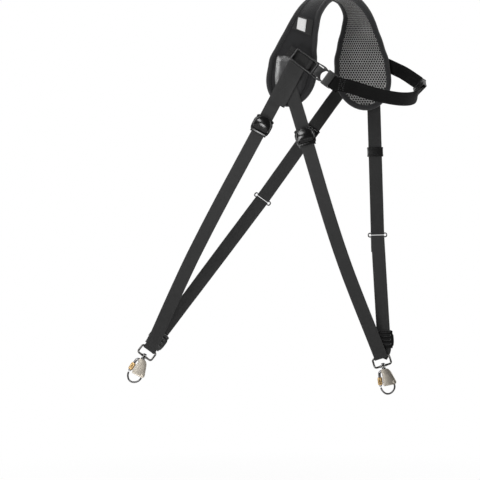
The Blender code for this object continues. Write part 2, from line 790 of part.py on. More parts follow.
def back_strap_route(top, edge, loop_matrix):
    """The doubled strap from the back lobe to the adjuster loop, with its tail behind."""
    depth = layer_depth(0)
    first = Vector((top[0], depth, top[1]))
    leave = Vector((edge[0], depth, edge[1]))
    loop_bar = loop_matrix.col[0].to_3d().normalized()
    loop_up = loop_matrix.col[2].to_3d().normalized()
    high_bar = loop_matrix @ Vector((0.0, 0.0, (LOOP_HEIGHT - LOOP_WIRE) / 2))
    radius = LOOP_WIRE / 2 + GAP + WEBBING_THICKNESS / 2
    into = perpendicular(high_bar - leave, loop_bar, FRONT)
    arc = wrap_under(high_bar, into, -into, -loop_up, radius)
    run_up = (leave - high_bar).normalized()
    spread = 2 * radius
    near = arc[-1] + run_up * spread * 4
    shut = near + into * (spread - WEBBING_THICKNESS - GAP)
    tail = shut + run_up * (ADJUSTER_TAIL - spread * 4)
    width = flat_width(high_bar - leave)
    places = [first, leave + (first - leave).normalized() * 0.004, leave]
    places += [leave.lerp(arc[0], 0.5)] + arc + [shut, tail]
    outs = [width, width, width, width] + [loop_bar] * len(arc) + [width, width]
    return places, outs


def loop_frame(place, run):
    """The adjuster loop's frame on a strap that runs along a line."""
    up = -run.normalized()
    return frame_matrix(Vector(place), flat_width(run), up)


def wire_loop_mesh():
    """A thin wire rectangle."""
    corner = (LOOP_HEIGHT - LOOP_WIRE) / 2 * 0.8
    path = rounded_frame_path(LOOP_WIDTH - LOOP_WIRE, LOOP_HEIGHT - LOOP_WIRE, corner)
    return tube("loop", path, LOOP_WIRE / 2, 8, closed=True)


def slider_mesh(height):
    """A slider: a flat loop that holds two layers of webbing together."""
    inner_w = WEBBING_WIDTH / 2 + SLOT_GAP
    inner_t = WEBBING_THICKNESS + GAP / 2 + SLOT_GAP
    outer_w, outer_t = inner_w + SLIDER_WALL, inner_t + SLIDER_WALL
    cut = SLIDER_WALL * 0.8
    outline = (
        (-outer_w + cut, -outer_t), (outer_w - cut, -outer_t), (outer_w, -outer_t + cut),
        (outer_w, outer_t - cut), (outer_w - cut, outer_t), (-outer_w + cut, outer_t),
        (-outer_w, outer_t - cut), (-outer_w, -outer_t + cut),
    )
    half = height / 2
    body = extrude_outline("slider", outline, -half, half, lambda a, b, c: Vector((a, b, c)))
    window = box_mesh("window", (-inner_w, -inner_t, -height), (inner_w, inner_t, height))
    return cut_all(body, [window])


# Cam-lock bumpers

def bumper_frame_mesh():
    """The frame: a ribbed base behind the webbing and a cheek on each side."""
    seat = WEBBING_THICKNESS / 2 + GAP
    inner = WEBBING_WIDTH / 2 + SLOT_GAP
    half_w, half_l = BUMPER_WIDTH / 2, BUMPER_LENGTH / 2
    cheek = half_w - inner - CHEEK_INSET
    right = [(half_w * c.across, half_l * c.along) for c in BUMPER_OUTLINE]
    outline = right + [(-a, b) for a, b in reversed(right)]
    base = extrude_outline(
        "base", outline, seat, seat + BUMPER_BASE, lambda a, b, c: Vector((a, c, b)))
    parts = []
    for share in RIB_PLACES:
        level = share * half_l
        low = (-inner, seat + BUMPER_BASE / 2, level - RIB_LENGTH / 2)
        high = (inner, seat + BUMPER_BASE + RIB_HEIGHT, level + RIB_LENGTH / 2)
        parts.append(box_mesh("rib", low, high))
    axis_y, axis_z = cam_axis()
    into_base = seat + BUMPER_BASE / 2
    low = -seat - GAP
    profile = [(into_base, axis_z + CHEEK.foot * BUMPER_LENGTH)]
    profile.append((low, axis_z + CHEEK.edge * BUMPER_LENGTH))
    profile.append((low, axis_z - CHEEK_ROUND - GAP))
    for degrees in (-55.0, -90.0, -125.0, -150.0, -180.0):
        angle = math.radians(degrees)
        reach = CHEEK_ROUND * math.cos(angle)
        profile.append((axis_y + reach, axis_z + CHEEK_ROUND * math.sin(angle)))
    profile.append((axis_y - CHEEK_ROUND, axis_z + CHEEK.crest * BUMPER_LENGTH))
    profile.append((low, axis_z + CHEEK.fall * BUMPER_LENGTH))
    profile.append((into_base, axis_z + CHEEK.heel * BUMPER_LENGTH))
    for sign in (-1, 1):
        near, far = sorted((sign * inner, sign * (inner + cheek)))
        parts.append(extrude_outline("cheek", profile, near, far, lambda a, b, c: Vector((c, a, b))))
        post_low = (near, low - BRIDGE_THICKNESS * 0.9, -half_l + GAP)
        parts.append(box_mesh("post", post_low, (far, into_base, -half_l + BRIDGE_LENGTH)))
    reach = inner + cheek - PIN_GAP
    bridge_low = (-reach, low - BRIDGE_THICKNESS, -half_l + 2 * GAP)
    parts.append(box_mesh("bridge", bridge_low, (reach, low, -half_l + BRIDGE_LENGTH - GAP)))
    body = join_all(base, parts)
    through = BUMPER_WIDTH
    hole_ends = (-through, axis_y, axis_z), (through, axis_y, axis_z)
    return cut_all(body, [rod_mesh("hole", *hole_ends, STUB_RADIUS + PIN_GAP, 12)])


def cam_axis():
    """Where the cam lever's pin lies: its y and z in the bumper's frame."""
    y = -(WEBBING_THICKNESS / 2 + GAP + BARREL_RADIUS + SLOT_GAP)
    z = -BUMPER_LENGTH * 0.04
    return y, z


def lever_mesh():
    """The cam lever: a domed D-shaped cover on a barrel with a stub at each end."""
    axis_y, axis_z = cam_axis()
    under = axis_y - CHEEK_ROUND - GAP
    flat_end = axis_z - BARREL_RADIUS
    rings = []
    rows = 7
    half_w = LEVER_WIDTH / 2
    for r in range(rows + 1):
        share = r / rows
        z = flat_end + LEVER_LENGTH * share
        round_off = math.sqrt(max(0.0, 1.0 - max(0.0, (share - 0.35) / 0.65) ** 2))
        wide = half_w * max(round_off, 0.30)
        swell = math.sin(math.pi * min(1.0, 0.30 + 0.62 * share)) * round_off
        bulge = LEVER_EDGE + LEVER_BULGE * swell
        ring = [Vector((-wide, under, z)), Vector((wide, under, z))]
        for a in (1.0, 0.80, 0.45, 0.0, -0.45, -0.80, -1.0):
            height = LEVER_EDGE + (bulge - LEVER_EDGE) * (1.0 - a * a) ** 0.7
            ring.append(Vector((wide * a, under - height, z)))
        rings.append(ring)
    dome = loft("dome", rings)
    inner = WEBBING_WIDTH / 2 + SLOT_GAP
    inside = inner - PIN_GAP * 2
    ends = (-inside, axis_y, axis_z), (inside, axis_y, axis_z)
    barrel = rod_mesh("barrel", *ends, BARREL_RADIUS, 12)
    web_low = (-inside, under - LEVER_EDGE / 2, axis_z - BARREL_RADIUS * 0.6)
    web_high = (inside, axis_y, axis_z + BARREL_RADIUS * 0.9)
    web = box_mesh("web", web_low, web_high)
    stub_reach = BUMPER_WIDTH / 2 - CHEEK_INSET - PIN_GAP
    ends = (-stub_reach, axis_y, axis_z), (stub_reach, axis_y, axis_z)
    stub = rod_mesh("stub", *ends, STUB_RADIUS, 10)
    return join_all(dome, [web, barrel, stub])


# Snap hooks

def plate_place(corner, length, start=0.0):
    """A corner of a hook table as a place in the hook's frame."""
    return Vector((HOOK_HALF * corner.across, 0.0, start - length * corner.down))


def hook_top():
    """The level of the hook's collar under the ring, clear of the tilted ring."""
    tilt = post_tilt()
    return RING_WIRE / 2 * BOSS_PROUD / math.cos(tilt) + BOSS_RADIUS * math.tan(tilt) + GAP


def bail_pin():
    """The bail's hinge pin in the hook's frame."""
    plate_top = -hook_top() - COLLAR_HEIGHT
    return plate_place(PIN_CORNER, PLATE_LENGTH, plate_top)


def hook_mesh():
    """The hook's plate, side arm, collar, post and the head inside the ring."""
    top = hook_top()
    plate_top = -top - COLLAR_HEIGHT
    half_t = PLATE_THICKNESS / 2
    outline = [plate_place(c, PLATE_LENGTH, plate_top) for c in PLATE_OUTLINE]
    centre = sum(outline, Vector()) / len(outline)
    rings = []
    for share, shrink in ((-1.0, 0.94), (-0.6, 1.0), (0.6, 1.0), (1.0, 0.94)):
        level = BACK * half_t * share
        rings.append([centre + (p - centre) * shrink + level for p in outline])
    plate = loft("plate", rings)
    profile = (
        (plate_top - 0.0010, HEAD_RADIUS * 0.8),
        (-top - COLLAR_HEIGHT * 0.4, HEAD_RADIUS),
        (-top, HEAD_RADIUS * 0.92),
        (-top, POST_RADIUS),
        (top, POST_RADIUS),
        (top, HEAD_RADIUS),
        (top + HEAD_HEIGHT * 0.6, HEAD_RADIUS * 0.85),
        (top + HEAD_HEIGHT, HEAD_RADIUS * 0.35),
    )
    rings = []
    for z, radius in profile:
        ring = []
        for k in range(16):
            angle = 2 * math.pi * k / 16
            ring.append(Vector((radius * math.cos(angle), radius * math.sin(angle), z)))
        rings.append(ring)
    post = loft("post", rings)
    arm = tube("arm", [plate_place(c, PLATE_LENGTH, plate_top) for c in ARM_PATH], ARM_RADIUS, 12)
    body = join_all(plate, [arm, post])
    pin = bail_pin()
    slot = BAIL_WIRE / 2 + PIN_GAP
    reach = BAIL_WIRE * 1.35
    notch_low = (pin.x - reach, -slot, pin.z - PLATE_LENGTH)
    notch_high = (HOOK_HALF * 2, slot, pin.z + reach)
    body = cut_all(body, [box_mesh("notch", notch_low, notch_high)])
    axle = rod_mesh("axle", pin - BACK * half_t * 0.85, pin + BACK * half_t * 0.85, PIN_RADIUS, 10)
    return join_all(body, [axle])


def bail_mesh():
    """The wire bail: an eye on the hinge pin and a wire that comes round to the side arm."""
    pin = bail_pin()
    plate_low = -hook_top() - COLLAR_HEIGHT - PLATE_LENGTH
    path = [plate_place(c, BAIL_DROP, plate_low) for c in BAIL_PATH]
    start = pin + (path[0] - pin).normalized() * BAIL_WIRE * 0.7
    wire = tube("bail", curve_through([start] + path, 2), BAIL_WIRE / 2, 10)
    half = BACK * BAIL_WIRE / 2
    eye = rod_mesh("eye", pin - half, pin + half, BAIL_WIRE * 0.95, 14)
    body = join_all(wire, [eye])
    bore = rod_mesh("bore", pin - half * 3, pin + half * 3, PIN_RADIUS + PIN_GAP, 12)
    return cut_all(body, [bore])


def arm_line():
    """The straight stretch of the side arm that the locking sleeve slides on."""
    plate_top = -hook_top() - COLLAR_HEIGHT
    high = plate_place(ARM_PATH[-2], PLATE_LENGTH, plate_top)
    low = plate_place(ARM_PATH[-1], PLATE_LENGTH, plate_top)
    return high, low


def sleeve_mesh():
    """The locking sleeve, a knurled tube on the side arm."""
    high, low = arm_line()
    middle = high.lerp(low, SLEEVE_PLACE)
    half = (low - high).normalized() * SLEEVE_LENGTH / 2
    rim = half * 0.86
    rings_points = [middle - half, middle - rim, middle + rim, middle + half]
    radii = [SLEEVE_RADIUS * 0.9, SLEEVE_RADIUS, SLEEVE_RADIUS, SLEEVE_RADIUS * 0.9]
    body = tube("sleeve", rings_points, radii, 14)
    bore = rod_mesh("bore", middle - half * 1.5, middle + half * 1.5, ARM_RADIUS + PIN_GAP, 14)
    return cut_all(body, [bore])


# Under-arm strap

def buckle_depth():
    """How far in front of y = 0 the buckle's middle plane lies."""
    return layer_depth(3) + WEBBING_THICKNESS / 2 + GAP + PRONG_THICKNESS / 2


def buckle_frame():
    """The buckle's frame: x along the strap away from the pad, z across it, origin at the ladder's end."""
    slope = math.radians(BUCKLE_SLOPE_DEG)
    right = Vector((math.cos(slope), 0.0, -math.sin(slope)))
    up = Vector((math.sin(slope), 0.0, math.cos(slope)))
    place = Vector((LADDER_PLACE[0], -buckle_depth(), LADDER_PLACE[1]))
    return frame_matrix(place, right, up)


def flat_plate(name, outline, thickness):
    """A plate in the buckle's x-z plane, centred on y = 0."""
    half = thickness / 2
    return extrude_outline(name, outline, -half, half, lambda a, b, c: Vector((a, c, b)))


def ladder_bar():
    """Where the ladder's inner bar starts and ends along the buckle."""
    return LADDER_LENGTH * 0.70, LADDER_LENGTH * 0.70 + END_BAR * 0.8


def prongs_mesh():
    """The ladder end, the shoulder and the two sprung prongs, in one moulding."""
    half = LADDER_WIDTH / 2
    inside = RECEPTACLE_WIDTH / 2 - SLIDER_WALL - GAP
    bow = RECEPTACLE_WIDTH / 2
    waist = LADDER_LENGTH + PRONG_WAIST
    tip = PRONG_LENGTH
    upper = (
        (0.0012, half * 0.86), (0.0030, half * 0.94), (LADDER_LENGTH, half * 1.04),
        (waist - PRONG_WAIST * 0.4, bow * 0.98), (waist, bow), (waist + PRONG_WAIST / 3, bow * 0.97),
        (RECEPTACLE_START - PRONG_TIP / 3, inside), (tip - PRONG_TIP, inside),
        (tip, inside - PRONG_TIP / 2), (tip - PRONG_TIP / 3, inside - PRONG_TIP),
        (RECEPTACLE_START, inside - PRONG_WALL), (waist + PRONG_WAIST * 0.50, half * 0.70),
        (waist + PRONG_WAIST * 0.35, half * 0.50), (waist + PRONG_WAIST * 0.21, half * 0.26),
        (waist + PRONG_WAIST * 0.15, 0.0),
    )
    lower = [(a, -b) for a, b in reversed(upper[:-1])]
    body = flat_plate("prongs", list(upper) + lower, PRONG_THICKNESS)
    bar_start, bar_end = ladder_bar()
    deep = PRONG_THICKNESS
    inner = half - LADDER_RAIL
    first = box_mesh("window", (LADDER_RAIL, -deep, -inner), (bar_start, deep, inner))
    second_end = LADDER_LENGTH * 0.94
    second = box_mesh("window", (bar_end, -deep, -inner), (second_end, deep, inner))
    slits = []
    for sign in (-1, 1):
        near, far = sorted((sign * (bow - SLIT_INSET - SLIT_WIDTH), sign * (bow - SLIT_INSET)))
        slit_start = LADDER_LENGTH + PRONG_WAIST / 12
        slits.append(box_mesh("slit", (slit_start, -deep, near), (waist, deep, far)))
    return cut_all(body, [first, second] + slits)


def receptacle_mesh():
    """The buckle's other half: an open pocket for the prongs and a bar for the webbing."""
    start = RECEPTACLE_START
    end = start + RECEPTACLE_LENGTH
    half_w, half_t = RECEPTACLE_WIDTH / 2, RECEPTACLE_THICKNESS / 2
    slot_start = end - END_BAR - WEBBING_SLOT
    corner, rail = RECEPTACLE_CORNER, RECEPTACLE_RAIL
    upper = [(start, half_w * 0.94), (start + corner, half_w), (end - rail, half_w), (end, half_w * 0.9)]
    outline = upper + [(a, -b) for a, b in reversed(upper)]
    body = flat_plate("receptacle", outline, RECEPTACLE_THICKNESS)
    pocket_t = PRONG_THICKNESS / 2 + GAP
    pocket_w = half_w - SLIDER_WALL
    pocket_end = slot_start - POCKET_STOP
    pocket_low = (start - RECEPTACLE_LENGTH, -pocket_t, -pocket_w)
    pocket = box_mesh("pocket", pocket_low, (pocket_end, pocket_t, pocket_w))
    slot_end = end - END_BAR
    slot_w = WEBBING_WIDTH / 2 + SLOT_GAP
    slot = box_mesh("slot", (slot_start, -half_t * 2, -slot_w), (slot_end, half_t * 2, slot_w))
    trims = []
    for sign in (-1, 1):
        near, far = sorted((sign * END_BAR / 2, sign * half_t * 2))
        trim_low, trim_high = slot_start + WEBBING_SLOT / 2, end + RECEPTACLE_LENGTH
        trims.append(box_mesh("trim", (trim_low, near, -slot_w), (trim_high, far, slot_w)))
    side_start, side_end = start + rail, pocket_end - POCKET_STOP
    side = box_mesh("side", (side_start, -pocket_t, -half_w * 2), (side_end, pocket_t, half_w * 2))
    return cut_all(body, [pocket, slot] + trims + [side])


def end_bar_wrap():
    """The fold of the under-arm webbing round the receptacle's bar, in the buckle's frame."""
    centre = RECEPTACLE_START + RECEPTACLE_LENGTH - END_BAR / 2
    radius = END_BAR * 0.71 + GAP + WEBBING_THICKNESS / 2
    arc = []
    for k in range(9):
        angle = math.radians(90.0 + 180.0 * k / 8)
        arc.append(Vector((centre + radius * math.cos(angle), radius * math.sin(angle), 0.0)))
    return centre, radius, arc


Station = namedtuple("Station", "place out normal")


def underarm_stations():
    """Stations on the middle line of the under-arm strap, and the number of the one in its slider."""
    frame = buckle_frame()
    centre, radius, _ = end_bar_wrap()
    leave = frame @ Vector((centre + END_BAR, -radius, 0.0))
    before, after = [Vector(UNDERARM_POINTS[SLIDER_STATION + k][:3]) for k in (-1, 1)]
    along = (after - before).normalized()
    reach = along * (UNDERARM_SLIDER_HEIGHT / 2 + SLIDER_LEAD)
    route, leans = [leave], [BUCKLE_SLOPE_DEG]
    for i, point in enumerate(UNDERARM_POINTS):
        place = Vector(point[:3])
        held_here = [place - reach, place, place + reach]
        for stop in (held_here if i == SLIDER_STATION else [place]):
            route.append(stop)
            leans.append(point.lean)
    steps = 3
    run = curve_through(route, steps)
    paced = curve_through([Vector((angle, i * 10.0, 0.0)) for i, angle in enumerate(leans)], steps)
    held = (SLIDER_STATION + 2) * steps
    stations = []
    for i, place in enumerate(run):
        inside = abs(i - held) <= steps
        if inside and (i - held) % steps:
            continue
        heading = (run[min(i + 1, len(run) - 1)] - run[max(i - 1, 0)]).normalized()
        if inside:
            heading = along
        angle = math.radians(paced[i].x)
        lean = Vector((math.sin(angle), 0.0, math.cos(angle)))
        out = (lean - heading * lean.dot(heading)).normalized()
        stations.append(Station(place, out, out.cross(heading).normalized()))
    return stations, held - (steps - 1), along


def build_buckle(materials, frame):
    """The fastened side-release buckle and the tab that holds its ladder to the front lobe."""
    make_object("buckle_prongs", prongs_mesh(), materials["plastic"], frame, 30)
    make_object("buckle_receptacle", receptacle_mesh(), materials["plastic"], frame, 30)
    bar_start, bar_end = ladder_bar()
    middle = (bar_start + bar_end) / 2
    radius = PRONG_THICKNESS / 2 + (bar_end - bar_start) * 0.12 + GAP + WEBBING_THICKNESS / 2
    seat = PRONG_THICKNESS / 2 + GAP + WEBBING_THICKNESS / 2
    tab_path = [Vector((-BUCKLE_TAB_TAIL, seat, 0.0))]
    tab_path.append(Vector((middle - radius - BUCKLE_TAB_TAIL / 2, seat, 0.0)))
    for degrees in (-160.0, -140.0, -115.0, -90.0, -65.0, -40.0, -20.0):
        angle = math.radians(degrees)
        tab_path.append(Vector((middle + radius * math.cos(angle), radius * math.sin(angle), 0.0)))
    for share in (0.32, 0.80):
        tab_path.append(Vector((middle + radius + BUCKLE_TAB_TAIL * share, seat, 0.0)))
    tab_width = LADDER_WIDTH - 2 * LADDER_RAIL - 2 * SLOT_GAP
    tab = ribbon("underarm_tab", tab_path, [Vector((0.0, 0.0, 1.0))] * len(tab_path), tab_width)
    make_object("underarm_tab", tab, materials["webbing"], frame, 40)


def build_underarm(materials):
    """The under-arm strap: tab, buckle, webbing, slider and the short strap from the back lobe."""
    frame = buckle_frame()
    build_buckle(materials, frame)
    up = frame.col[2].to_3d().normalized()
    centre, radius, arc = end_bar_wrap()
    tail = frame @ Vector((centre + SEWN_TAIL * 0.55, radius, 0.0))
    wrapped = [frame @ p for p in arc]
    stations, held, along = underarm_stations()

    half_step = (WEBBING_THICKNESS + GAP) / 2
    last = len(stations) - 3
    spread = [0.0 if i < held - 6 else min(1.0, (i - held + 6) / 5) for i in range(len(stations))]
    outer = [s.place + s.normal * half_step * k for s, k in zip(stations, spread)]
    inner = [s.place - s.normal * half_step for s in stations]
    places = [tail] + wrapped + outer[:last]
    sides = [up] * (len(wrapped) + 1) + [s.out for s in stations[:last]]
    normals = [None] * (len(wrapped) + 1) + [s.normal for s in stations[:last]]
    webbing = ribbon("underarm_webbing", places, sides, normals=normals)
    make_object("underarm_webbing", webbing, materials["webbing"], smooth_deg=40)

    lobe = layer_depth(0)
    end = Vector((UNDERARM_END[0], lobe, UNDERARM_END[1]))
    lead = Vector((UNDERARM_LANDING[0], lobe, UNDERARM_LANDING[1]))
    flat = (end - lead).cross(BACK).normalized()
    flat = flat if flat.z > 0 else -flat
    places = inner[held - 1:] + [lead, end]
    sides = [s.out for s in stations[held - 1:]] + [flat, flat]
    normals = [s.normal for s in stations[held - 1:]]
    strap = ribbon("underarm_back_webbing", places, sides, normals=normals)
    make_object("underarm_back_webbing", strap, materials["webbing"], smooth_deg=40)

    matrix = frame_matrix(stations[held].place, stations[held].out, along)
    slider = slider_mesh(UNDERARM_SLIDER_HEIGHT)
    make_object("underarm_slider", slider, materials["plastic"], matrix, 30)


# Assembly

def along_run(places, distance):
    """The place and direction at a distance along a run of places."""
    left = distance
    for a, b in zip(places, places[1:]):
        length = (b - a).length
        if left <= length:
            return a.lerp(b, left / length), (b - a).normalized()
        left -= length
    return places[-1], (places[-1] - places[-2]).normalized()


def strap_frame(place, along_up, lever_side, out=None):
    """A frame on webbing, with the lever's side (local -y) towards a direction."""
    out = out or flat_width(along_up)
    out = out - along_up * out.dot(along_up)
    matrix = frame_matrix(place, out, along_up)
    if matrix.col[1].to_3d().dot(lever_side) > 0:
        matrix = frame_matrix(place, -out, along_up)
    return matrix


def on_axis(mesh, pivot):
    """The mesh with its origin moved to a place on its joint's axis."""
    mesh.transform(Matrix.Translation(-pivot))
    return mesh


def build_bumper(name, place, along_up, lever_side, meshes, materials, out=None):
    """One cam-lock bumper on a strap, its lever's origin on the pin."""
    matrix = strap_frame(place, along_up, lever_side, out)
    make_object(name + "_frame", meshes["bumper"], materials["plastic"], matrix)
    pivot = Matrix.Translation((0.0, *cam_axis()))
    make_object(name + "_lever", meshes["lever"], materials["plastic"], matrix @ pivot)


def build_slings(materials):
    """Both sling loops with all that is on them."""
    edges = {"left": BACK_LEFT_EDGE, "right": BACK_RIGHT_EDGE}
    tops = {"left": BACK_LEFT_TOP, "right": BACK_RIGHT_TOP}
    loop_places = {"left": LOOP_LEFT_PLACE, "right": LOOP_RIGHT_PLACE}
    front = {
        "left": (SLING_LEFT_TOP, SLING_LEFT_EDGE, SLING_LEFT_MIDDLE, SLING_LEFT_RETURN),
        "right": (SLING_RIGHT_TOP, SLING_RIGHT_EDGE, SLING_RIGHT_MIDDLE, SLING_RIGHT_RETURN),
    }
    layers_over = {"left": 1, "right": 0}
    upper_along = {"left": UPPER_LEFT_BUMPER_ALONG, "right": UPPER_RIGHT_BUMPER_ALONG}
    ring = ring_mesh()
    hook = hook_mesh()
    high, low = arm_line()
    sleeve_place = high.lerp(low, SLEEVE_PLACE)
    bail = on_axis(bail_mesh(), bail_pin())
    sleeve = on_axis(sleeve_mesh(), sleeve_place)
    wire_loop = wire_loop_mesh()
    slider = slider_mesh(SLIDER_HEIGHT)
    lever = on_axis(lever_mesh(), Vector((0.0, *cam_axis())))
    meshes = {"bumper": bumper_frame_mesh(), "lever": lever}
    meshes["bumper"].shade_smooth()
    meshes["bumper"].set_sharp_from_angle(angle=math.radians(30))
    meshes["lever"].shade_smooth()
    meshes["lever"].set_sharp_from_angle(angle=math.radians(40))
    for side in SIDES:
        name = side.name
        leave = Vector((edges[name][0], layer_depth(0), edges[name][1]))
        run_down = Vector(loop_places[name]) - leave
        loop_matrix = loop_frame(loop_places[name], run_down)
        make_object("loop_" + name, wire_loop, materials["wire"], loop_matrix, 60)

        places, outs, seat = sling_route(side, *front[name], loop_matrix, layers_over[name])
        sling = ribbon("sling_webbing_" + name, places, outs)
        make_object("sling_webbing_" + name, sling, materials["webbing"], smooth_deg=40)
        strap_places, strap_outs = back_strap_route(tops[name], edges[name], loop_matrix)
        strap = ribbon("back_strap_" + name, strap_places, strap_outs)
        make_object("back_strap_" + name, strap, materials["webbing"], smooth_deg=40)

        up = -run_down.normalized()
        layers = (WEBBING_THICKNESS + GAP) / 2
        slider_at = Vector(loop_places[name]) + up * SLIDER_UP
        face = perpendicular(run_down, flat_width(run_down), FRONT)
        slide_centre, slide_dir = along_run(strap_places[2:], (strap_places[2] - slider_at).length)
        slider_place = slide_centre - face * layers
        matrix = frame_matrix(slider_place, flat_width(run_down), -slide_dir)
        make_object("slider_" + name, slider, materials["plastic"], matrix, 30)

        front_run = places[2:]
        place, direction = along_run(front_run, upper_along[name])
        build_bumper("bumper_upper_" + name, place, -direction, FRONT, meshes, materials)
        ring_matrix = ring_frame(side)
        place, direction, out = seat
        build_bumper("bumper_lower_" + name, place, direction, BACK, meshes, materials, out)

        make_object("ring_" + name, ring, materials["nickel"], ring_matrix, 40)
        hook_matrix = hook_frame(side)
        make_object("hook_" + name, hook, materials["gunmetal"], hook_matrix, 30)
        pin_matrix = hook_matrix @ Matrix.Translation(bail_pin())
        make_object("bail_" + name, bail, materials["wire"], pin_matrix, 50)
        sleeve_matrix = hook_matrix @ Matrix.Translation(sleeve_place)
        make_object("sleeve_" + name, sleeve, materials["brass"], sleeve_matrix, 50)


def build_tabs(materials):
    """The tabs that are sewn over the webbing ends on the two lobes."""
    depth = -layer_depth(2)
    top = Vector((SLING_LEFT_TOP[0], depth, SLING_LEFT_TOP[1]))
    edge = Vector((SLING_LEFT_EDGE[0], depth, SLING_LEFT_EDGE[1]))
    along = (edge - top).normalized()
    out = flat_width(along)
    shift = out * (TAB_WIDTH - WEBBING_WIDTH) / 2
    start = top - along * 0.002 + shift
    tab = ribbon("front_tab", [start, start + along * TAB_LENGTH], [out, out], TAB_WIDTH)
    make_object("front_tab", tab, materials["webbing"], smooth_deg=40)

    level = layer_depth(0) + WEBBING_THICKNESS / 2 + GAP
    low_x = BACK_LEFT_EDGE[0] + WEBBING_WIDTH * 0.9
    outline = (
        (BACK_RIGHT_TOP[0] + WEBBING_WIDTH * 0.75, BACK_RIGHT_TOP[1] + WEBBING_WIDTH),
        (BACK_RIGHT_TOP[0] + WEBBING_WIDTH * 0.75, BACK_RIGHT_TOP[1] - WEBBING_WIDTH * 1.2),
        (BACK_RIGHT_TOP[0] - WEBBING_WIDTH * 0.9, BACK_RIGHT_TOP[1] - WEBBING_WIDTH * 1.6),
        (low_x, BACK_LEFT_TOP[1] - WEBBING_WIDTH * 1.2),
        (low_x, BACK_LEFT_TOP[1] + WEBBING_WIDTH * 0.7),
    )
    sheet = extrude_outline("back_tab", outline, level, level + BACK_TAB_THICKNESS,
                            lambda a, b, c: Vector((a, c, b)))
    make_object("back_tab", sheet, materials["nylon"])


def main():
    clear_scene()
    materials = make_materials()
    rows = build_pad(materials)
    build_front_skins(rows, materials)
    build_slings(materials)
    build_tabs(materials)
    build_underarm(materials)


main()
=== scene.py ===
"""Camera sling strap: the dressed model of the shoulder pad, its webbing and its hardware.

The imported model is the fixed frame. Every piece below stands for one of its nodes.
"""
import json
import math
from collections import namedtuple

import bmesh
import bpy
from bpy.props import FloatProperty, FloatVectorProperty, IntProperty, PointerProperty
from mathutils import Matrix, Vector, noise

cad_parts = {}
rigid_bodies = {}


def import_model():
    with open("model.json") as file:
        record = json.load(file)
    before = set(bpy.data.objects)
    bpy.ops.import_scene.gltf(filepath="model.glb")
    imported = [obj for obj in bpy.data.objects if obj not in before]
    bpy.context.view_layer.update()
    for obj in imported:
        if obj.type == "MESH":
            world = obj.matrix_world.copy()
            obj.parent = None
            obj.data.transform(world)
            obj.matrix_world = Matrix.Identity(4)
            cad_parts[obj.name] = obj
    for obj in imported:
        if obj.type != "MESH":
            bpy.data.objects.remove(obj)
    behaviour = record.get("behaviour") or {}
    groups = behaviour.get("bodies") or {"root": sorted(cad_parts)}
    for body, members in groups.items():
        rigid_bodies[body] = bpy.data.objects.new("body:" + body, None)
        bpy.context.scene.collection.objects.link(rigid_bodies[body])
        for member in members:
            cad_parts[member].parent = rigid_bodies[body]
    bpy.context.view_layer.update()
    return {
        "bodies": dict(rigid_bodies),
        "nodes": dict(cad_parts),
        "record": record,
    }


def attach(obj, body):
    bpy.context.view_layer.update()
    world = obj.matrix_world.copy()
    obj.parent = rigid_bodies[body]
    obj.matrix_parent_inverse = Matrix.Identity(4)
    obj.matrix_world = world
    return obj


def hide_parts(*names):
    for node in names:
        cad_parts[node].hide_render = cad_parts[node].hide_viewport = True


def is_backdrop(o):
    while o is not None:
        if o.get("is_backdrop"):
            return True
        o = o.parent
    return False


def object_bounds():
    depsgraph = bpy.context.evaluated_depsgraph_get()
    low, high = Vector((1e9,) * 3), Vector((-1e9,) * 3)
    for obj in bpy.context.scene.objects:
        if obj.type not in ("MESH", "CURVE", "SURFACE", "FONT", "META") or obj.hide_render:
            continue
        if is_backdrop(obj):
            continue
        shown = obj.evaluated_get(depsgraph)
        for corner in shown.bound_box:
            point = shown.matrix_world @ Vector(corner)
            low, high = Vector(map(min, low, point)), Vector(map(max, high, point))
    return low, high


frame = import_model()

bl_info = {
    "name": "Camera sling strap",
    "version": (1, 0, 0),
    "blender": (4, 5, 0),
    "location": "View3D > Sidebar > Sling",
    "description": "Builds the padded sling, its webbing and its metal and plastic parts",
    "category": "Object",
}

MM = 0.001

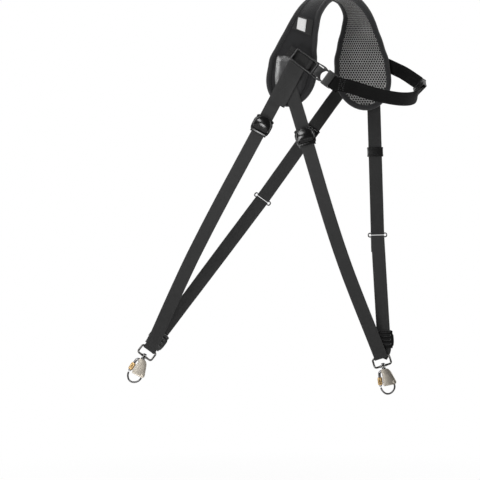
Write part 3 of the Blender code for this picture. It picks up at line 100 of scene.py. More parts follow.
# The webbing's middle lines: rows of a Station's values, in millimetres, with the direction of the
# width at each place. A row without a direction keeps that of the row before
Station = namedtuple("Station", "x y z across_x across_y across_z", defaults=(None, None, None))
SLING_LEFT = (
    (-73.5, -77.25, -125.0, 0.904, 0.0, -0.427),
    (-114.22, -77.25, -201.57),
    (-116.1, -77.25, -205.1),
    (-143.69, -68.63, -256.45),
    (-171.46, -60.02, -307.71),
    (-199.14, -51.4, -359.01),
    (-226.45, -42.75, -410.5),
    (-253.1, -34.04, -462.3),
    (-271.16, -27.85, -499.13, 0.901, 0.015, -0.433),
    (-288.56, -21.59, -536.27, 0.889, 0.061, -0.453),
    (-305.6, -15.3, -573.6, 0.864, 0.138, -0.484),
    (-322.54, -9.01, -610.97, 0.817, 0.245, -0.522),
    (-339.66, -2.73, -648.25, 0.74, 0.375, -0.558),
    (-340.34, -2.48, -648.99),
    (-341.03, -1.93, -649.54),
    (-341.65, -1.14, -649.82),
    (-342.1, -0.21, -649.8),
    (-342.35, 0.75, -649.48),
    (-342.35, 1.61, -648.91),
    (-342.12, 2.28, -648.15),
    (-341.67, 2.66, -647.29),
    (-337.55, 3.6, -644.04, 0.716, 0.37, -0.592),
    (-314.83, 8.09, -613.8),
    (-278.45, 15.27, -565.38, 0.731, 0.334, -0.595),
    (-242.08, 22.46, -516.95, 0.763, 0.244, -0.599),
    (-205.7, 29.65, -468.53, 0.793, 0.132, -0.595),
    (-169.32, 36.83, -420.11, 0.809, 0.039, -0.586),
    (-132.94, 44.02, -371.68, 0.814, 0.0, -0.581),
    (-132.46, 44.3, -371.0),
    (-132.08, 44.88, -370.47),
    (-131.85, 45.67, -370.15),
    (-131.82, 46.55, -370.11),
    (-131.99, 47.38, -370.34),
    (-132.32, 48.04, -370.81),
    (-132.78, 48.42, -371.45),
    (-133.29, 48.48, -372.17),
    (-149.98, 44.75, -394.34),
)
BACK_STRAP_LEFT = (
    (42.1, 75.45, -129.9, 0.814, 0.0, -0.581),
    (-0.79, 75.45, -186.81),
    (-3.2, 75.45, -190.0),
    (-66.06, 60.19, -278.02),
    (-128.91, 44.92, -366.04),
    (-129.42, 44.98, -366.75),
    (-129.88, 45.37, -367.39),
    (-130.22, 46.03, -367.86),
    (-130.38, 46.86, -368.09),
    (-130.35, 47.74, -368.04),
    (-130.12, 48.52, -367.73),
    (-129.74, 49.1, -367.19),
    (-129.25, 49.38, -366.51),
    (-118.68, 49.04, -351.7),
    (-22.44, 70.67, -216.94),
)
SLING_RIGHT = (
    (-85.0, -75.45, -157.6, 0.932, 0.0, 0.362),
    (-70.4, -75.45, -204.18),
    (-69.2, -75.45, -208.0),
    (-53.6, -67.26, -259.31),
    (-38.25, -59.06, -310.7),
    (-22.77, -50.87, -362.05),
    (-6.79, -42.7, -413.23),
    (10.1, -34.59, -464.1),
    (24.56, -28.2, -504.19, 0.933, 0.003, 0.36),
    (39.92, -21.85, -543.96, 0.936, 0.011, 0.351),
    (55.79, -15.54, -583.57, 0.941, 0.025, 0.337),
    (71.79, -9.23, -623.13, 0.947, 0.045, 0.317),
    (87.53, -2.91, -662.78, 0.954, 0.07, 0.292),
    (87.79, -2.58, -663.7),
    (87.98, -1.95, -664.47),
    (88.07, -1.1, -665.0),
    (88.07, -0.11, -665.22),
    (87.96, 0.89, -665.11),
    (87.77, 1.78, -664.68),
    (87.5, 2.47, -663.98),
    (87.21, 2.86, -663.1),
    (94.42, 5.36, -647.98, 0.998, 0.036, 0.047),
    (92.44, 10.66, -610.33),
    (90.64, 15.47, -576.16, 0.998, 0.033, 0.045),
    (88.85, 20.28, -541.99, 0.999, 0.024, 0.038),
    (87.05, 25.09, -507.82, 0.999, 0.013, 0.03),
    (85.26, 29.9, -473.65, 1.0, 0.004, 0.023),
    (83.46, 34.71, -439.48, 1.0, 0.0, 0.02),
    (83.45, 35.02, -438.66),
    (83.43, 35.62, -438.02),
    (83.43, 36.42, -437.66),
    (83.42, 37.3, -437.63),
    (83.43, 38.12, -437.94),
    (83.44, 38.76, -438.54),
    (83.46, 39.12, -439.34),
    (83.48, 39.15, -440.22),
    (83.94, 34.57, -467.84),
)
BACK_STRAP_RIGHT = (
    (76.9, 75.45, -144.9, 1.0, 0.0, 0.02),
    (78.67, 75.45, -201.5),
    (78.8, 75.45, -205.5),
    (81.06, 55.65, -319.04),
    (83.32, 35.85, -432.58),
    (83.34, 35.88, -433.46),
    (83.36, 36.24, -434.26),
    (83.37, 36.88, -434.86),
    (83.38, 37.7, -435.17),
    (83.37, 38.58, -435.14),
    (83.37, 39.38, -434.77),
    (83.35, 39.98, -434.13),
    (83.34, 40.29, -433.31),
    (82.98, 40.54, -415.12),
    (79.69, 67.62, -250.36),
)
UNDERARM_TAB = (
    (-84.79, -80.85, -99.42, 0.588, 0.0, 0.809),
    (-54.16, -80.85, -121.68),
    (-49.93, -85.48, -124.75),
    (-49.4, -86.6, -125.13),
    (-48.37, -87.58, -125.89),
    (-47.09, -87.93, -126.81),
    (-45.81, -87.58, -127.74),
    (-44.78, -86.6, -128.49),
    (-44.25, -85.48, -128.88),
    (-41.48, -80.85, -130.89),
    (-37.6, -80.85, -133.71),
)
UNDERARM_FRONT = (
    (8.97, -80.31, -167.55, 0.588, 0.0, 0.809),
    (-3.48, -80.31, -158.49),
    (-4.69, -80.61, -157.62),
    (-5.71, -81.45, -156.88),
    (-6.39, -82.71, -156.38),
    (-6.63, -84.2, -156.21),
    (-6.39, -85.69, -156.38),
    (-5.71, -86.95, -156.88),
    (-4.69, -87.79, -157.62),
    (-3.48, -88.09, -158.49),
    (-0.25, -88.09, -160.85, 0.215, -0.072, 0.974),
    (10.95, -86.2, -163.18, 0.212, -0.057, 0.976),
    (22.16, -84.32, -165.51, 0.224, -0.05, 0.973),
    (33.0, -81.5, -168.0, 0.259, -0.04, 0.965),
    (43.76, -77.06, -171.02, 0.288, -0.018, 0.957),
    (54.17, -71.68, -174.2, 0.278, -0.002, 0.96),
    (64.5, -66.0, -177.0, 0.238, -0.002, 0.971),
    (77.16, -58.98, -179.81, 0.205, -0.002, 0.979),
    (89.75, -51.65, -182.25, 0.174, -0.003, 0.985),
    (102.2, -44.0, -184.2, 0.144, -0.008, 0.99),
    (112.0, -37.69, -185.37, 0.108, -0.021, 0.994),
    (121.66, -31.07, -186.05, 0.067, -0.046, 0.997),
    (130.9, -24.0, -186.0, 0.033, -0.089, 0.996),
    (138.08, -17.58, -185.39, 0.017, -0.163, 0.986),
    (144.72, -10.6, -184.01, 0.001, -0.276, 0.961),
    (150.72, -3.8, -181.41, -0.032, -0.444, 0.895),
    (154.6, 0.86, -177.85, 0.003, -0.665, 0.747),
    (157.87, 5.26, -173.05, 0.195, -0.76, 0.62),
    (160.47, 9.52, -168.23, 0.605, -0.496, 0.623),
    (160.28, 17.65, -161.59),
    (160.1, 25.77, -154.94),
    (157.2, 30.19, -151.57, 0.589, -0.139, 0.796),
    (153.36, 34.74, -148.35, 0.546, -0.115, 0.83),
    (149.42, 39.36, -145.24, 0.522, -0.134, 0.842),
    (144.23, 46.08, -140.97, 0.491, -0.16, 0.856),
    (138.99, 52.82, -136.83, 0.454, -0.172, 0.874),
    (133.5, 59.35, -132.83, 0.428, -0.162, 0.889),
)
UNDERARM_BACK = (
    (161.9, 10.23, -169.06, 0.605, -0.496, 0.623),
    (161.72, 18.35, -162.41),
    (161.53, 26.48, -155.77),
    (158.32, 31.46, -152.18, 0.589, -0.139, 0.796),
    (154.46, 36.05, -148.9, 0.546, -0.115, 0.83),
    (150.58, 40.64, -145.76, 0.522, -0.134, 0.842),
    (145.45, 47.32, -141.43, 0.491, -0.16, 0.856),
    (140.23, 54.06, -137.23, 0.454, -0.172, 0.874),
    (134.7, 60.65, -133.17, 0.428, -0.162, 0.889),
    (130.16, 65.3, -130.34, 0.415, -0.123, 0.902),
    (125.34, 69.75, -127.67, 0.418, -0.094, 0.903),
    (120.54, 74.2, -124.99, 0.43, -0.079, 0.899),
    (108.0, 75.45, -119.0, 0.419, 0.0, 0.908),
    (82.0, 75.45, -107.0),
)

# The pad's rows from the front lobe's tip over the arch to the back lobe's tip: the place and the
# half width in millimetres, the turn in degrees, and how full the foam is
PadRow = namedtuple("PadRow", "x y z turn half fill")
PAD_ROWS = tuple(PadRow(*row) for row in (
    (-85.07, -68.0, -195.04, 0.0, 2.69, 0.264),
    (-84.94, -68.0, -193.91, 0.0, 8.66, 0.474),
    (-84.61, -68.0, -191.28, 0.0, 15.04, 0.625),
    (-84.01, -68.0, -186.35, 0.0, 22.08, 0.757),
    (-83.11, -68.0, -179.04, 0.0, 28.61, 0.862),
    (-81.92, -68.0, -169.31, 0.0, 33.99, 0.94),
    (-80.56, -68.0, -158.23, 0.0, 37.36, 0.985),
    (-79.12, -68.0, -146.44, 0.0, 38.47, 1.0),
    (-77.71, -68.04, -130.78, -0.02, 37.08, 1.0),
    (-75.68, -68.0, -115.24, 0.0, 36.09, 1.0),
    (-71.78, -67.91, -99.54, 2.2, 31.52, 1.0),
    (-67.08, -67.32, -84.04, 4.44, 28.21, 1.0),
    (-62.11, -65.79, -68.29, 8.14, 24.48, 1.0),
    (-56.76, -63.24, -52.84, 11.84, 21.84, 1.0),
    (-52.4, -60.38, -40.81, 15.91, 19.8, 1.0),
    (-47.3, -55.76, -29.96, 19.98, 18.71, 1.0),
    (-38.0, -45.18, -15.96, 25.9, 18.36, 1.0),
    (-27.52, -32.64, -5.0, 31.82, 18.72, 1.0),
    (-14.13, -16.77, 2.14, 35.06, 19.53, 1.0),
    (0.0, 0.0, 5.4, 37.0, 20.1, 1.0),
    (14.2, 16.62, 5.52, 35.06, 18.78, 1.0),
    (27.72, 32.64, 1.24, 31.82, 17.64, 1.0),
    (37.76, 45.05, -8.37, 25.9, 18.39, 1.0),
    (45.99, 55.76, -21.64, 19.98, 20.25, 1.0),
    (48.92, 60.34, -31.39, 15.91, 22.23, 1.0),
    (50.4, 63.24, -42.44, 11.84, 25.4, 1.0),
    (51.72, 65.83, -57.91, 8.14, 29.49, 1.0),
    (52.6, 67.32, -73.64, 4.44, 34.74, 1.0),
    (53.7, 67.92, -90.26, 2.21, 38.71, 1.0),
    (54.81, 68.0, -106.92, 0.0, 43.75, 1.0),
    (56.05, 68.04, -123.56, -0.02, 44.68, 1.0),
    (57.33, 68.0, -140.2, 0.0, 45.98, 1.0),
    (58.54, 68.0, -153.49, 0.0, 44.63, 0.985),
    (59.67, 68.0, -165.99, 0.0, 40.62, 0.94),
    (60.67, 68.0, -176.96, 0.0, 34.18, 0.862),
    (61.42, 68.0, -185.2, 0.0, 26.38, 0.757),
    (61.92, 68.0, -190.76, 0.0, 17.97, 0.625),
    (62.19, 68.0, -193.72, 0.0, 10.35, 0.474),
    (62.31, 68.0, -195.0, 0.0, 3.21, 0.264),
))

# Where the hard pieces are: a place in millimetres, and the directions of their width and height
Seat = namedtuple("Seat", "x y z right_x right_y right_z up_x up_y up_z")
SEATS = {
    "loop_left": Seat(-131.1, 46.7, -369.1, 0.8138, 0.0, -0.5812, 0.5763, 0.1295, 0.8069),
    "loop_right": Seat(83.4, 37.5, -436.4, 0.9998, 0.0, 0.0199, -0.0197, 0.1621, 0.9866),
    "slider_left": Seat(-40.07, 67.41, -241.63, 0.8138, 0.0, -0.5812, 0.5755, 0.1397, 0.8058),
    "slider_right": Seat(80.3, 63.28, -280.54, 0.9998, 0.0, 0.0199, -0.0196, 0.1718, 0.9849),
    "underarm_slider": Seat(161.0, 18.0, -162.0, 0.6051, -0.4959, 0.6229, -0.0176, 0.7738, 0.6331),
    "bumper_upper_left": Seat(-133.42, -71.83, -237.34, 0.8809, 0.0, -0.4733, 0.4682, -0.1464,
                              0.8714),
    "bumper_upper_right": Seat(-53.96, -67.45, -258.13, 0.9567, 0.0, 0.291, -0.2876, -0.1509, 0.9458),
    "bumper_lower_left": Seat(-327.0, 5.68, -630.0, -0.7156, -0.3699, 0.5925, 0.5965, 0.1178, 0.794),
    "bumper_lower_right": Seat(93.5, 7.82, -630.5, -0.9982, -0.0363, -0.0474, -0.052, 0.1392, 0.9889),
    "ring_left": Seat(-340.4, 0.0, -647.4, 0.7405, 0.3746, -0.558, 0.6018, 0.0, 0.7986),
    "ring_right": Seat(87.2, 0.0, -662.4, 0.954, 0.0698, 0.2917, -0.2924, 0.0, 0.9563),
    "hook_left": Seat(-350.63, 0.0, -660.98, 0.883, 0.0, -0.4695, 0.4695, 0.0, 0.883),
    "hook_right": Seat(92.17, 0.0, -678.66, 0.9816, 0.0, 0.1908, -0.1908, 0.0, 0.9816),
    "buckle": Seat(-76.7, -84.2, -105.3, 0.809, 0.0, -0.5878, 0.5878, 0.0, 0.809),
}

# The tabs over the strap ends, in millimetres
TAB_WIDTH = 33.0 * MM
FRONT_TAB = (
    (-69.03, -79.05, -125.11, 0.883, 0.0, -0.47),
    (-107.53, -79.05, -197.51),
)
BACK_TAB = ((95.65, -119.9), (95.65, -174.9), (54.4, -184.9), (19.3, -159.9), (19.3, -112.4))
BACK_TAB_LEVEL = 76.5
BACK_TAB_THICKNESS = 1.5

# Sizes that the pieces share
PAD_EDGE = 2.5 * MM
PAD_CROWN = 4.8 * MM
PAD_HALF_THICKNESS = 5.4 * MM
PAD_FOAM_UNDER = 2.6 * MM
FRONT_DROP = 208.0 * MM
WEBBING_WIDTH = 25.0 * MM
WEBBING_THICKNESS = 1.5 * MM
UNDERARM_TAB_WIDTH = 18.7 * MM
HOOK_HALF = 18.2 * MM
PLATE_LENGTH = 32.0 * MM
PLATE_TOP = -5.59 * MM
RING_LOW = -17.0 * MM
BAIL_PIN = Vector((13.47, 0.0, -32.47)) * MM
BUMPER_HALF = 18.5 * MM
BUMPER_HALF_LENGTH = 17.0 * MM
CAM_AXIS = Vector((0.0, -3.95, -1.36)) * MM
X_AXIS = Vector((1.0, 0.0, 0.0))
Y_AXIS = Vector((0.0, 1.0, 0.0))
Z_AXIS = Vector((0.0, 0.0, 1.0))

# Outlines of the hook's parts, as shares of its half width and of each part's length
Corner = namedtuple("Corner", "across down")
PLATE_CORNERS = (
    Corner(-0.23, 0.00), Corner(0.22, 0.00), Corner(0.44, 0.05), Corner(0.64, 0.21),
    Corner(1.00, 0.85), Corner(0.94, 0.97), Corner(0.68, 1.00), Corner(-0.30, 1.00),
    Corner(-0.35, 0.95), Corner(-0.28, 0.28), Corner(-0.38, 0.13),
)
ARM_CORNERS = (
    Corner(-0.10, 0.13), Corner(-0.36, 0.12), Corner(-0.51, 0.19), Corner(-0.56, 0.30),
    Corner(-0.66, 0.97),
)
BAIL_CORNERS = (
    Corner(0.74, 0.25), Corner(0.62, 0.58), Corner(0.36, 0.86), Corner(0.04, 0.98),
    Corner(-0.26, 0.90), Corner(-0.50, 0.62), Corner(-0.62, 0.32), Corner(-0.66, 0.06),
)


# Settings

def size_prop(name, text, millimetres):
    """A length that a user may change."""
    return FloatProperty(name=name, description=text, default=millimetres * MM, unit="LENGTH",
                         min=0.0, precision=5)


def power_prop(name, text, watts):
    """A light's power that a user may change."""
    return FloatProperty(name=name, description=text + ", in watts", default=watts, min=0.0)


def colour_prop(name, text, colour):
    """A colour that a user may change."""
    return FloatVectorProperty(name=name, description=text, default=colour, subtype="COLOR",
                               size=3, min=0.0, max=1.0)


class SlingClothSettings(bpy.types.PropertyGroup):
    """Colours of the sewn pieces."""
    webbing: colour_prop("Webbing", "Charcoal of the straps", (0.030, 0.030, 0.030))
    nylon: colour_prop("Nylon", "Outer face of the pad", (0.012, 0.012, 0.013))
    air_mesh: colour_prop("Air mesh", "Open lining on the inner face", (0.330, 0.328, 0.322))
    backing: colour_prop("Backing", "What shows in the lining's holes", (0.006, 0.006, 0.006))
    binding: colour_prop("Binding", "Ribbed tape round the pad's edge", (0.010, 0.010, 0.011))
    patch: colour_prop("Vinyl patch", "Glossy patch on the front lobe", (0.022, 0.022, 0.023))
    label: colour_prop("Label", "Bare label", (0.900, 0.900, 0.895))
    thread: colour_prop("Thread", "Sewing thread", (0.016, 0.016, 0.017))


class SlingHardSettings(bpy.types.PropertyGroup):
    """Colours of the metal and plastic pieces."""
    plastic: colour_prop("Plastic", "Moulded sliders, bumpers and buckle", (0.004, 0.004, 0.004))
    nickel: colour_prop("Nickel", "Polished swivel rings", (0.140, 0.138, 0.134))
    gunmetal: colour_prop("Hook plate", "Cast plates of the hooks", (0.420, 0.385, 0.330))
    brass: colour_prop("Brass", "Locking sleeves", (0.620, 0.430, 0.210))
    steel: colour_prop("Dark steel", "Bails and adjuster loops", (0.110, 0.108, 0.108))


class SlingDetailSettings(bpy.types.PropertyGroup):
    """Sizes of the small details."""
    stitch_length: size_prop("Stitch length", "Length of one stitch", 2.6)
    stitch_pitch: size_prop("Stitch pitch", "From one stitch to the next", 3.4)
    thread_radius: size_prop("Thread radius", "Half the thread's thickness", 0.32)
    hole_pitch: size_prop("Hole pitch", "Sets how far the lining's rows of holes lie apart", 4.2)
    hole_share: FloatProperty(name="Hole size", description="Hole's share of its cell",
                              default=0.74, min=0.1, max=0.9)
    hole_depth: size_prop("Hole depth", "How deep the lining's holes go", 1.6)
    knurls: IntProperty(name="Knurls", description="Ridges round each sleeve", default=44,
                        min=8, max=90)
    swell: size_prop("Swell", "Most that the pad's face may puff up", 1.2)


class SlingStageSettings(bpy.types.PropertyGroup):
    """The floor, lights and camera."""
    floor_drop: size_prop("Floor drop", "How far the floor lies under the hooks", 160.0)
    floor_radius: size_prop("Floor radius", "Half the floor's width", 1250.0)
    key_power: power_prop("Key light", "Power of the light at the upper left", 58.0)
    fill_power: power_prop("Fill light", "Power of the light at the right", 16.0)
    top_power: power_prop("Top light", "Power of the light over and behind the piece", 6.0)
    low_power: power_prop("Low light", "Power of the light low in front", 30.0)
    camera_place: FloatVectorProperty(name="Camera", description="Where the camera stands",
                                      default=(-0.1732, -4.9387, -0.4457), subtype="XYZ",
                                      unit="LENGTH", size=3)
    lens: FloatProperty(name="Lens", description="Focal length in millimetres", default=200.0,
                        min=10.0)


def settings(kind):
    """One of the scene's groups of settings."""
    return getattr(bpy.context.scene, "sling_" + kind)


# Materials

def add(tree, kind, inputs=None, **values):
    """A node with its settings; an input is a value or another node's socket."""
    node = tree.nodes.new(kind)
    for key, value in values.items():
        setattr(node, key, value)
    for key, value in (inputs or {}).items():
        if isinstance(value, bpy.types.NodeSocket):
            tree.links.new(value, node.inputs[key])
        else:
            node.inputs[key].default_value = value
    return node


def calc(tree, operation, *values):
    """The result of a Math node."""
    return add(tree, "ShaderNodeMath", dict(enumerate(values)), operation=operation).outputs[0]


def wave(tree, along, pitch):
    """A smooth ripple from 0 to 1 with a pitch in metres."""
    turned = calc(tree, "SINE", calc(tree, "MULTIPLY", along, 2.0 * math.pi / pitch))
    return calc(tree, "MULTIPLY_ADD", turned, 0.5, 0.5)


def grain(tree, place, scale, detail=3.0, rough=0.55):
    """Noise from 0 to 1 over the piece."""
    inputs = {"Vector": place, "Scale": scale, "Detail": detail, "Roughness": rough}
    return add(tree, "ShaderNodeTexNoise", inputs).outputs[0]


def mixed(tree, share, low, high):
    """A colour between two colours."""
    node = add(tree, "ShaderNodeMix", {0: share}, data_type="RGBA")
    for index, colour in ((6, low), (7, high)):
        if isinstance(colour, bpy.types.NodeSocket):
            tree.links.new(colour, node.inputs[index])
        else:
            node.inputs[index].default_value = (*colour, 1.0)
    return node.outputs[2]


def spread(tree, value, low, high):
    """A value from 0 to 1 spread between low and high."""
    inputs = {0: value, 3: low, 4: high}
    return add(tree, "ShaderNodeMapRange", inputs).outputs[0]


def scaled(colour, factor):
    """A lighter or darker colour."""
    return tuple(min(1.0, c * factor) for c in colour)


def start_material(name):
    """A material with its tree, its shader and the place on the piece."""
    material = bpy.data.materials.new(name)
    material.use_nodes = True
    tree = material.node_tree
    place = add(tree, "ShaderNodeTexCoord").outputs["Object"]
    return material, tree, tree.nodes["Principled BSDF"], place


def flat_ways(tree):
    """The UV map's two directions, in metres."""
    where = add(tree, "ShaderNodeTexCoord").outputs["UV"]
    flat = add(tree, "ShaderNodeSeparateXYZ", {0: where})
    return flat.outputs[0], flat.outputs[1]


def finish_material(tree, shader, colour, rough, height, depth, **fixed):
    """Connect colour, roughness and relief, and set the shader's own values."""
    tree.links.new(colour, shader.inputs["Base Color"])
    tree.links.new(rough, shader.inputs["Roughness"])
    bump = add(tree, "ShaderNodeBump", {"Strength": 1.0, "Distance": depth, "Height": height})
    tree.links.new(bump.outputs[0], shader.inputs["Normal"])
    for key, value in fixed.items():
        shader.inputs[key.replace("_", " ")].default_value = value


# Painted shade: a strap darkens toward the hooks between these heights, to this share at the lower
PAINTED_SHADE_FROM, PAINTED_SHADE_TO = -0.62, -0.30
PAINTED_SHADE_LOW = 0.50


def webbing_material(name, colour, rib=0.80, pick=1.25, chevron=6.2, sheen=0.06, gloss=0.55,
                     shine=0.30):
    """Woven strap: ribs along it, picks across it in a chevron, and painted shade toward the hooks.
    """
    material, tree, shader, place = start_material(name)
    across, along = flat_ways(tree)
    ribs = wave(tree, across, rib * MM)
    slant = calc(tree, "PINGPONG", across, chevron * MM / 2.0)
    picks = wave(tree, calc(tree, "ADD", along, calc(tree, "MULTIPLY", slant, 0.9)), pick * MM)
    weave = calc(tree, "MULTIPLY_ADD", picks, 0.6, calc(tree, "MULTIPLY", ribs, 0.4))
    fuzz = grain(tree, place, 900.0, 2.0)
    relief = calc(tree, "MULTIPLY_ADD", fuzz, 0.25, weave)
    wear = grain(tree, place, 34.0, 4.0, 0.6)
    edge = calc(tree, "POWER", calc(tree, "MULTIPLY", calc(tree, "ABSOLUTE", across), 80.0), 8.0)
    tone = calc(tree, "ADD", spread(tree, weave, 0.0, 0.75), calc(tree, "MULTIPLY", wear, 0.35))
    tone = calc(tree, "ADD", tone, calc(tree, "MULTIPLY", calc(tree, "MINIMUM", edge, 1.0), 0.12))
    # Painted shade: the colour is darkened toward black lower down, by height
    height = add(tree, "ShaderNodeSeparateXYZ", {0: place}).outputs[2]
    drop = add(tree, "ShaderNodeMapRange", {0: height, 1: PAINTED_SHADE_FROM, 2: PAINTED_SHADE_TO, 3: PAINTED_SHADE_LOW,
               4: 1.0})
    thread = mixed(tree, tone, scaled(colour, 0.45), scaled(colour, 1.55))
    shade = mixed(tree, drop.outputs[0], (0.0, 0.0, 0.0), thread)
    rough = spread(tree, fuzz, gloss, gloss + 0.25)
    finish_material(tree, shader, shade, rough, relief, 0.00026, Sheen_Weight=sheen,
                    Sheen_Roughness=0.45, Specular_IOR_Level=shine)
    return material


def cloth_material(name, colour, thread=0.85, sheen=0.2, rough_from=0.62, relief_depth=0.00014):
    """Plain woven cloth with round threads both ways."""
    material, tree, shader, place = start_material(name)
    across, along = flat_ways(tree)
    warp, weft = wave(tree, across, thread * MM), wave(tree, along, thread * 1.1 * MM)
    weave = calc(tree, "ABSOLUTE", calc(tree, "SUBTRACT", warp, weft))
    cross = calc(tree, "MULTIPLY", warp, weft)
    weave = calc(tree, "MAXIMUM", weave, cross)
    fuzz = grain(tree, place, 700.0, 2.0)
    wear = grain(tree, place, 22.0, 5.0, 0.62)
    tone = calc(tree, "MULTIPLY_ADD", weave, 0.55, calc(tree, "MULTIPLY", wear, 0.45))
    shade = mixed(tree, tone, scaled(colour, 0.55), scaled(colour, 1.6))
    relief = calc(tree, "MULTIPLY_ADD", fuzz, 0.3, weave)
    rough = spread(tree, wear, rough_from, rough_from + 0.22)
    finish_material(tree, shader, shade, rough, relief, relief_depth, Sheen_Weight=sheen,
                    Sheen_Roughness=0.4, Specular_IOR_Level=0.35)
    return material


def binding_material(name, colour):
    """Grosgrain tape: ribs across its length."""
    material, tree, shader, place = start_material(name)
    across, along = flat_ways(tree)
    ribs = wave(tree, along, 1.05 * MM)
    threads = wave(tree, across, 0.45 * MM)
    weave = calc(tree, "MULTIPLY_ADD", ribs, 0.8, calc(tree, "MULTIPLY", threads, 0.2))
    wear = grain(tree, place, 40.0, 4.0)
    tone = calc(tree, "MULTIPLY_ADD", weave, 0.6, calc(tree, "MULTIPLY", wear, 0.4))
    shade = mixed(tree, tone, scaled(colour, 0.5), scaled(colour, 2.0))
    finish_material(tree, shader, shade, spread(tree, wear, 0.55, 0.75), weave, 0.00018,
                    Sheen_Weight=0.15, Specular_IOR_Level=0.35)
    return material


def knit_material(name, colour):
    """Knitted yarn of the open lining."""
    material, tree, shader, place = start_material(name)
    across, along = flat_ways(tree)
    loops = wave(tree, across, 0.42 * MM)
    rows = wave(tree, calc(tree, "ADD", along, calc(tree, "MULTIPLY", loops, 0.0003)), 0.60 * MM)
    fuzz = grain(tree, place, 1200.0, 2.0)
    wear = grain(tree, place, 30.0, 4.0, 0.6)
    tone = calc(tree, "MULTIPLY_ADD", rows, 0.35, calc(tree, "MULTIPLY", wear, 0.65))
    shade = mixed(tree, tone, scaled(colour, 0.50), scaled(colour, 1.40))
    relief = calc(tree, "MULTIPLY_ADD", fuzz, 0.5, rows)
    finish_material(tree, shader, shade, spread(tree, fuzz, 0.60, 0.85), relief, 0.00012,
                    Sheen_Weight=0.10, Sheen_Roughness=0.5, Specular_IOR_Level=0.30)
    return material


def vinyl_material(name, colour):
    """Glossy coated patch with a fine leather grain and scuffs."""
    material, tree, shader, place = start_material(name)
    cells = add(tree, "ShaderNodeTexVoronoi", {"Vector": place, "Scale": 900.0})
    fold = grain(tree, place, 26.0, 3.0)
    scuff = grain(tree, place, 140.0, 6.0, 0.7)
    shade = mixed(tree, scuff, scaled(colour, 0.6), scaled(colour, 1.7))
    relief = calc(tree, "MULTIPLY_ADD", fold, 26.0, cells.outputs[0])
    finish_material(tree, shader, shade, spread(tree, scuff, 0.20, 0.40), relief, 0.00010,
                    Specular_IOR_Level=0.8, Coat_Weight=0.6, Coat_Roughness=0.16)
    return material


def plastic_material(name, colour, low=0.17, high=0.30):
    """Moulded plastic: glossy, with faint flow marks and fine scratches."""
    material, tree, shader, place = start_material(name)
    flow = grain(tree, place, 45.0, 2.0)
    scuff = grain(tree, place, 420.0, 6.0, 0.72)
    shade = mixed(tree, scuff, scaled(colour, 0.8), scaled(colour, 2.2))
    relief = calc(tree, "MULTIPLY_ADD", flow, 2.5, calc(tree, "MULTIPLY", scuff, 0.10))
    finish_material(tree, shader, shade, spread(tree, scuff, low, high), relief, 0.00002,
                    Specular_IOR_Level=0.7)
    return material


def metal_material(name, colour, low, high, pits, depth):
    """Metal with faint stains, scratches and, where cast, small pits."""
    material, tree, shader, place = start_material(name)
    stain = grain(tree, place, 90.0, 5.0, 0.65)
    scratch = grain(tree, place, 1100.0, 3.0)
    shade = mixed(tree, stain, scaled(colour, 0.84), scaled(colour, 1.10))
    relief = calc(tree, "MULTIPLY_ADD", scratch, pits, stain)
    finish_material(tree, shader, shade, spread(tree, stain, low, high), relief, depth, Metallic=1.0)
    return material


def thread_material(name, colour):
    """Twisted sewing thread."""
    material, tree, shader, place = start_material(name)
    twist = grain(tree, place, 1800.0, 1.0)
    shade = mixed(tree, twist, scaled(colour, 0.6), scaled(colour, 1.9))
    finish_material(tree, shader, shade, spread(tree, twist, 0.5, 0.7), twist, 0.00006,
                    Sheen_Weight=0.2)
    return material


def finishes():
    """What makes each finish, by its name."""
    cloth, hard = settings("cloth"), settings("hard")
    return {
        "webbing": lambda n: webbing_material(n, cloth.webbing),
        # Painted shade: a darker copy of the strap webbing, for the right back strap and the buckle's
        # tab
        "painted shade webbing": lambda n: webbing_material(n, scaled(cloth.webbing, 0.66)),
        "underarm webbing": lambda n: webbing_material(n, scaled(cloth.webbing, 0.03), sheen=0.0,
                                                      gloss=0.42, shine=0.13),
        "nylon": lambda n: cloth_material(n, cloth.nylon),
        "knit": lambda n: knit_material(n, cloth.air_mesh),
        "backing": lambda n: cloth_material(n, cloth.backing, 0.5),
        "binding": lambda n: binding_material(n, cloth.binding),
        "band": lambda n: webbing_material(n, scaled(cloth.webbing, 0.70), 0.6, 0.9, 40.0),
        "label": lambda n: cloth_material(n, cloth.label, 0.45, 0.1, 0.55, 0.00006),
        "vinyl": lambda n: vinyl_material(n, cloth.patch),
        "thread": lambda n: thread_material(n, cloth.thread),
        "pale thread": lambda n: thread_material(n, scaled(cloth.label, 0.6)),
        "plastic": lambda n: plastic_material(n, hard.plastic),
        # Painted light: a lighter, rougher copy of the black plastic; its lighter colour makes the
        # buckle's frame read as lit
        "plastic with painted light": lambda n: plastic_material(n, scaled(hard.plastic, 3.0), 0.28, 0.42),
        "nickel": lambda n: metal_material(n, hard.nickel, 0.06, 0.18, 0.2, 0.00002),
        "gunmetal": lambda n: metal_material(n, hard.gunmetal, 0.34, 0.46, 0.9, 0.00003),
        "brass": lambda n: metal_material(n, hard.brass, 0.22, 0.34, 0.2, 0.00001),
        "arm steel": lambda n: metal_material(n, scaled(hard.steel, 2.0), 0.14, 0.30, 0.4, 0.00002),
        "steel": lambda n: metal_material(n, hard.steel, 0.16, 0.32, 0.4, 0.00002),
    }


def finish(name):
    """A finish's material, made when it is first asked for."""
    label = "Sling " + name
    return bpy.data.materials.get(label) or finishes()[name](label)


# Mesh tools

# How near two corners are made one, and how short an edge is dropped
WELD = 2e-6
SLIVER = 1e-7


def metres(row):
    """A table's row with its first three numbers, the place, in metres."""
    return tuple(v * MM for v in row[:3]) + tuple(row[3:])


def stations(table):
    """A strap's table in metres, with a direction of the width in each row."""
    rows = []
    for row in table:
        station = Station(*row)
        across = rows[-1][3:] if station.across_x is None else station[3:]
        rows.append(metres(station[:3] + across))
    return rows


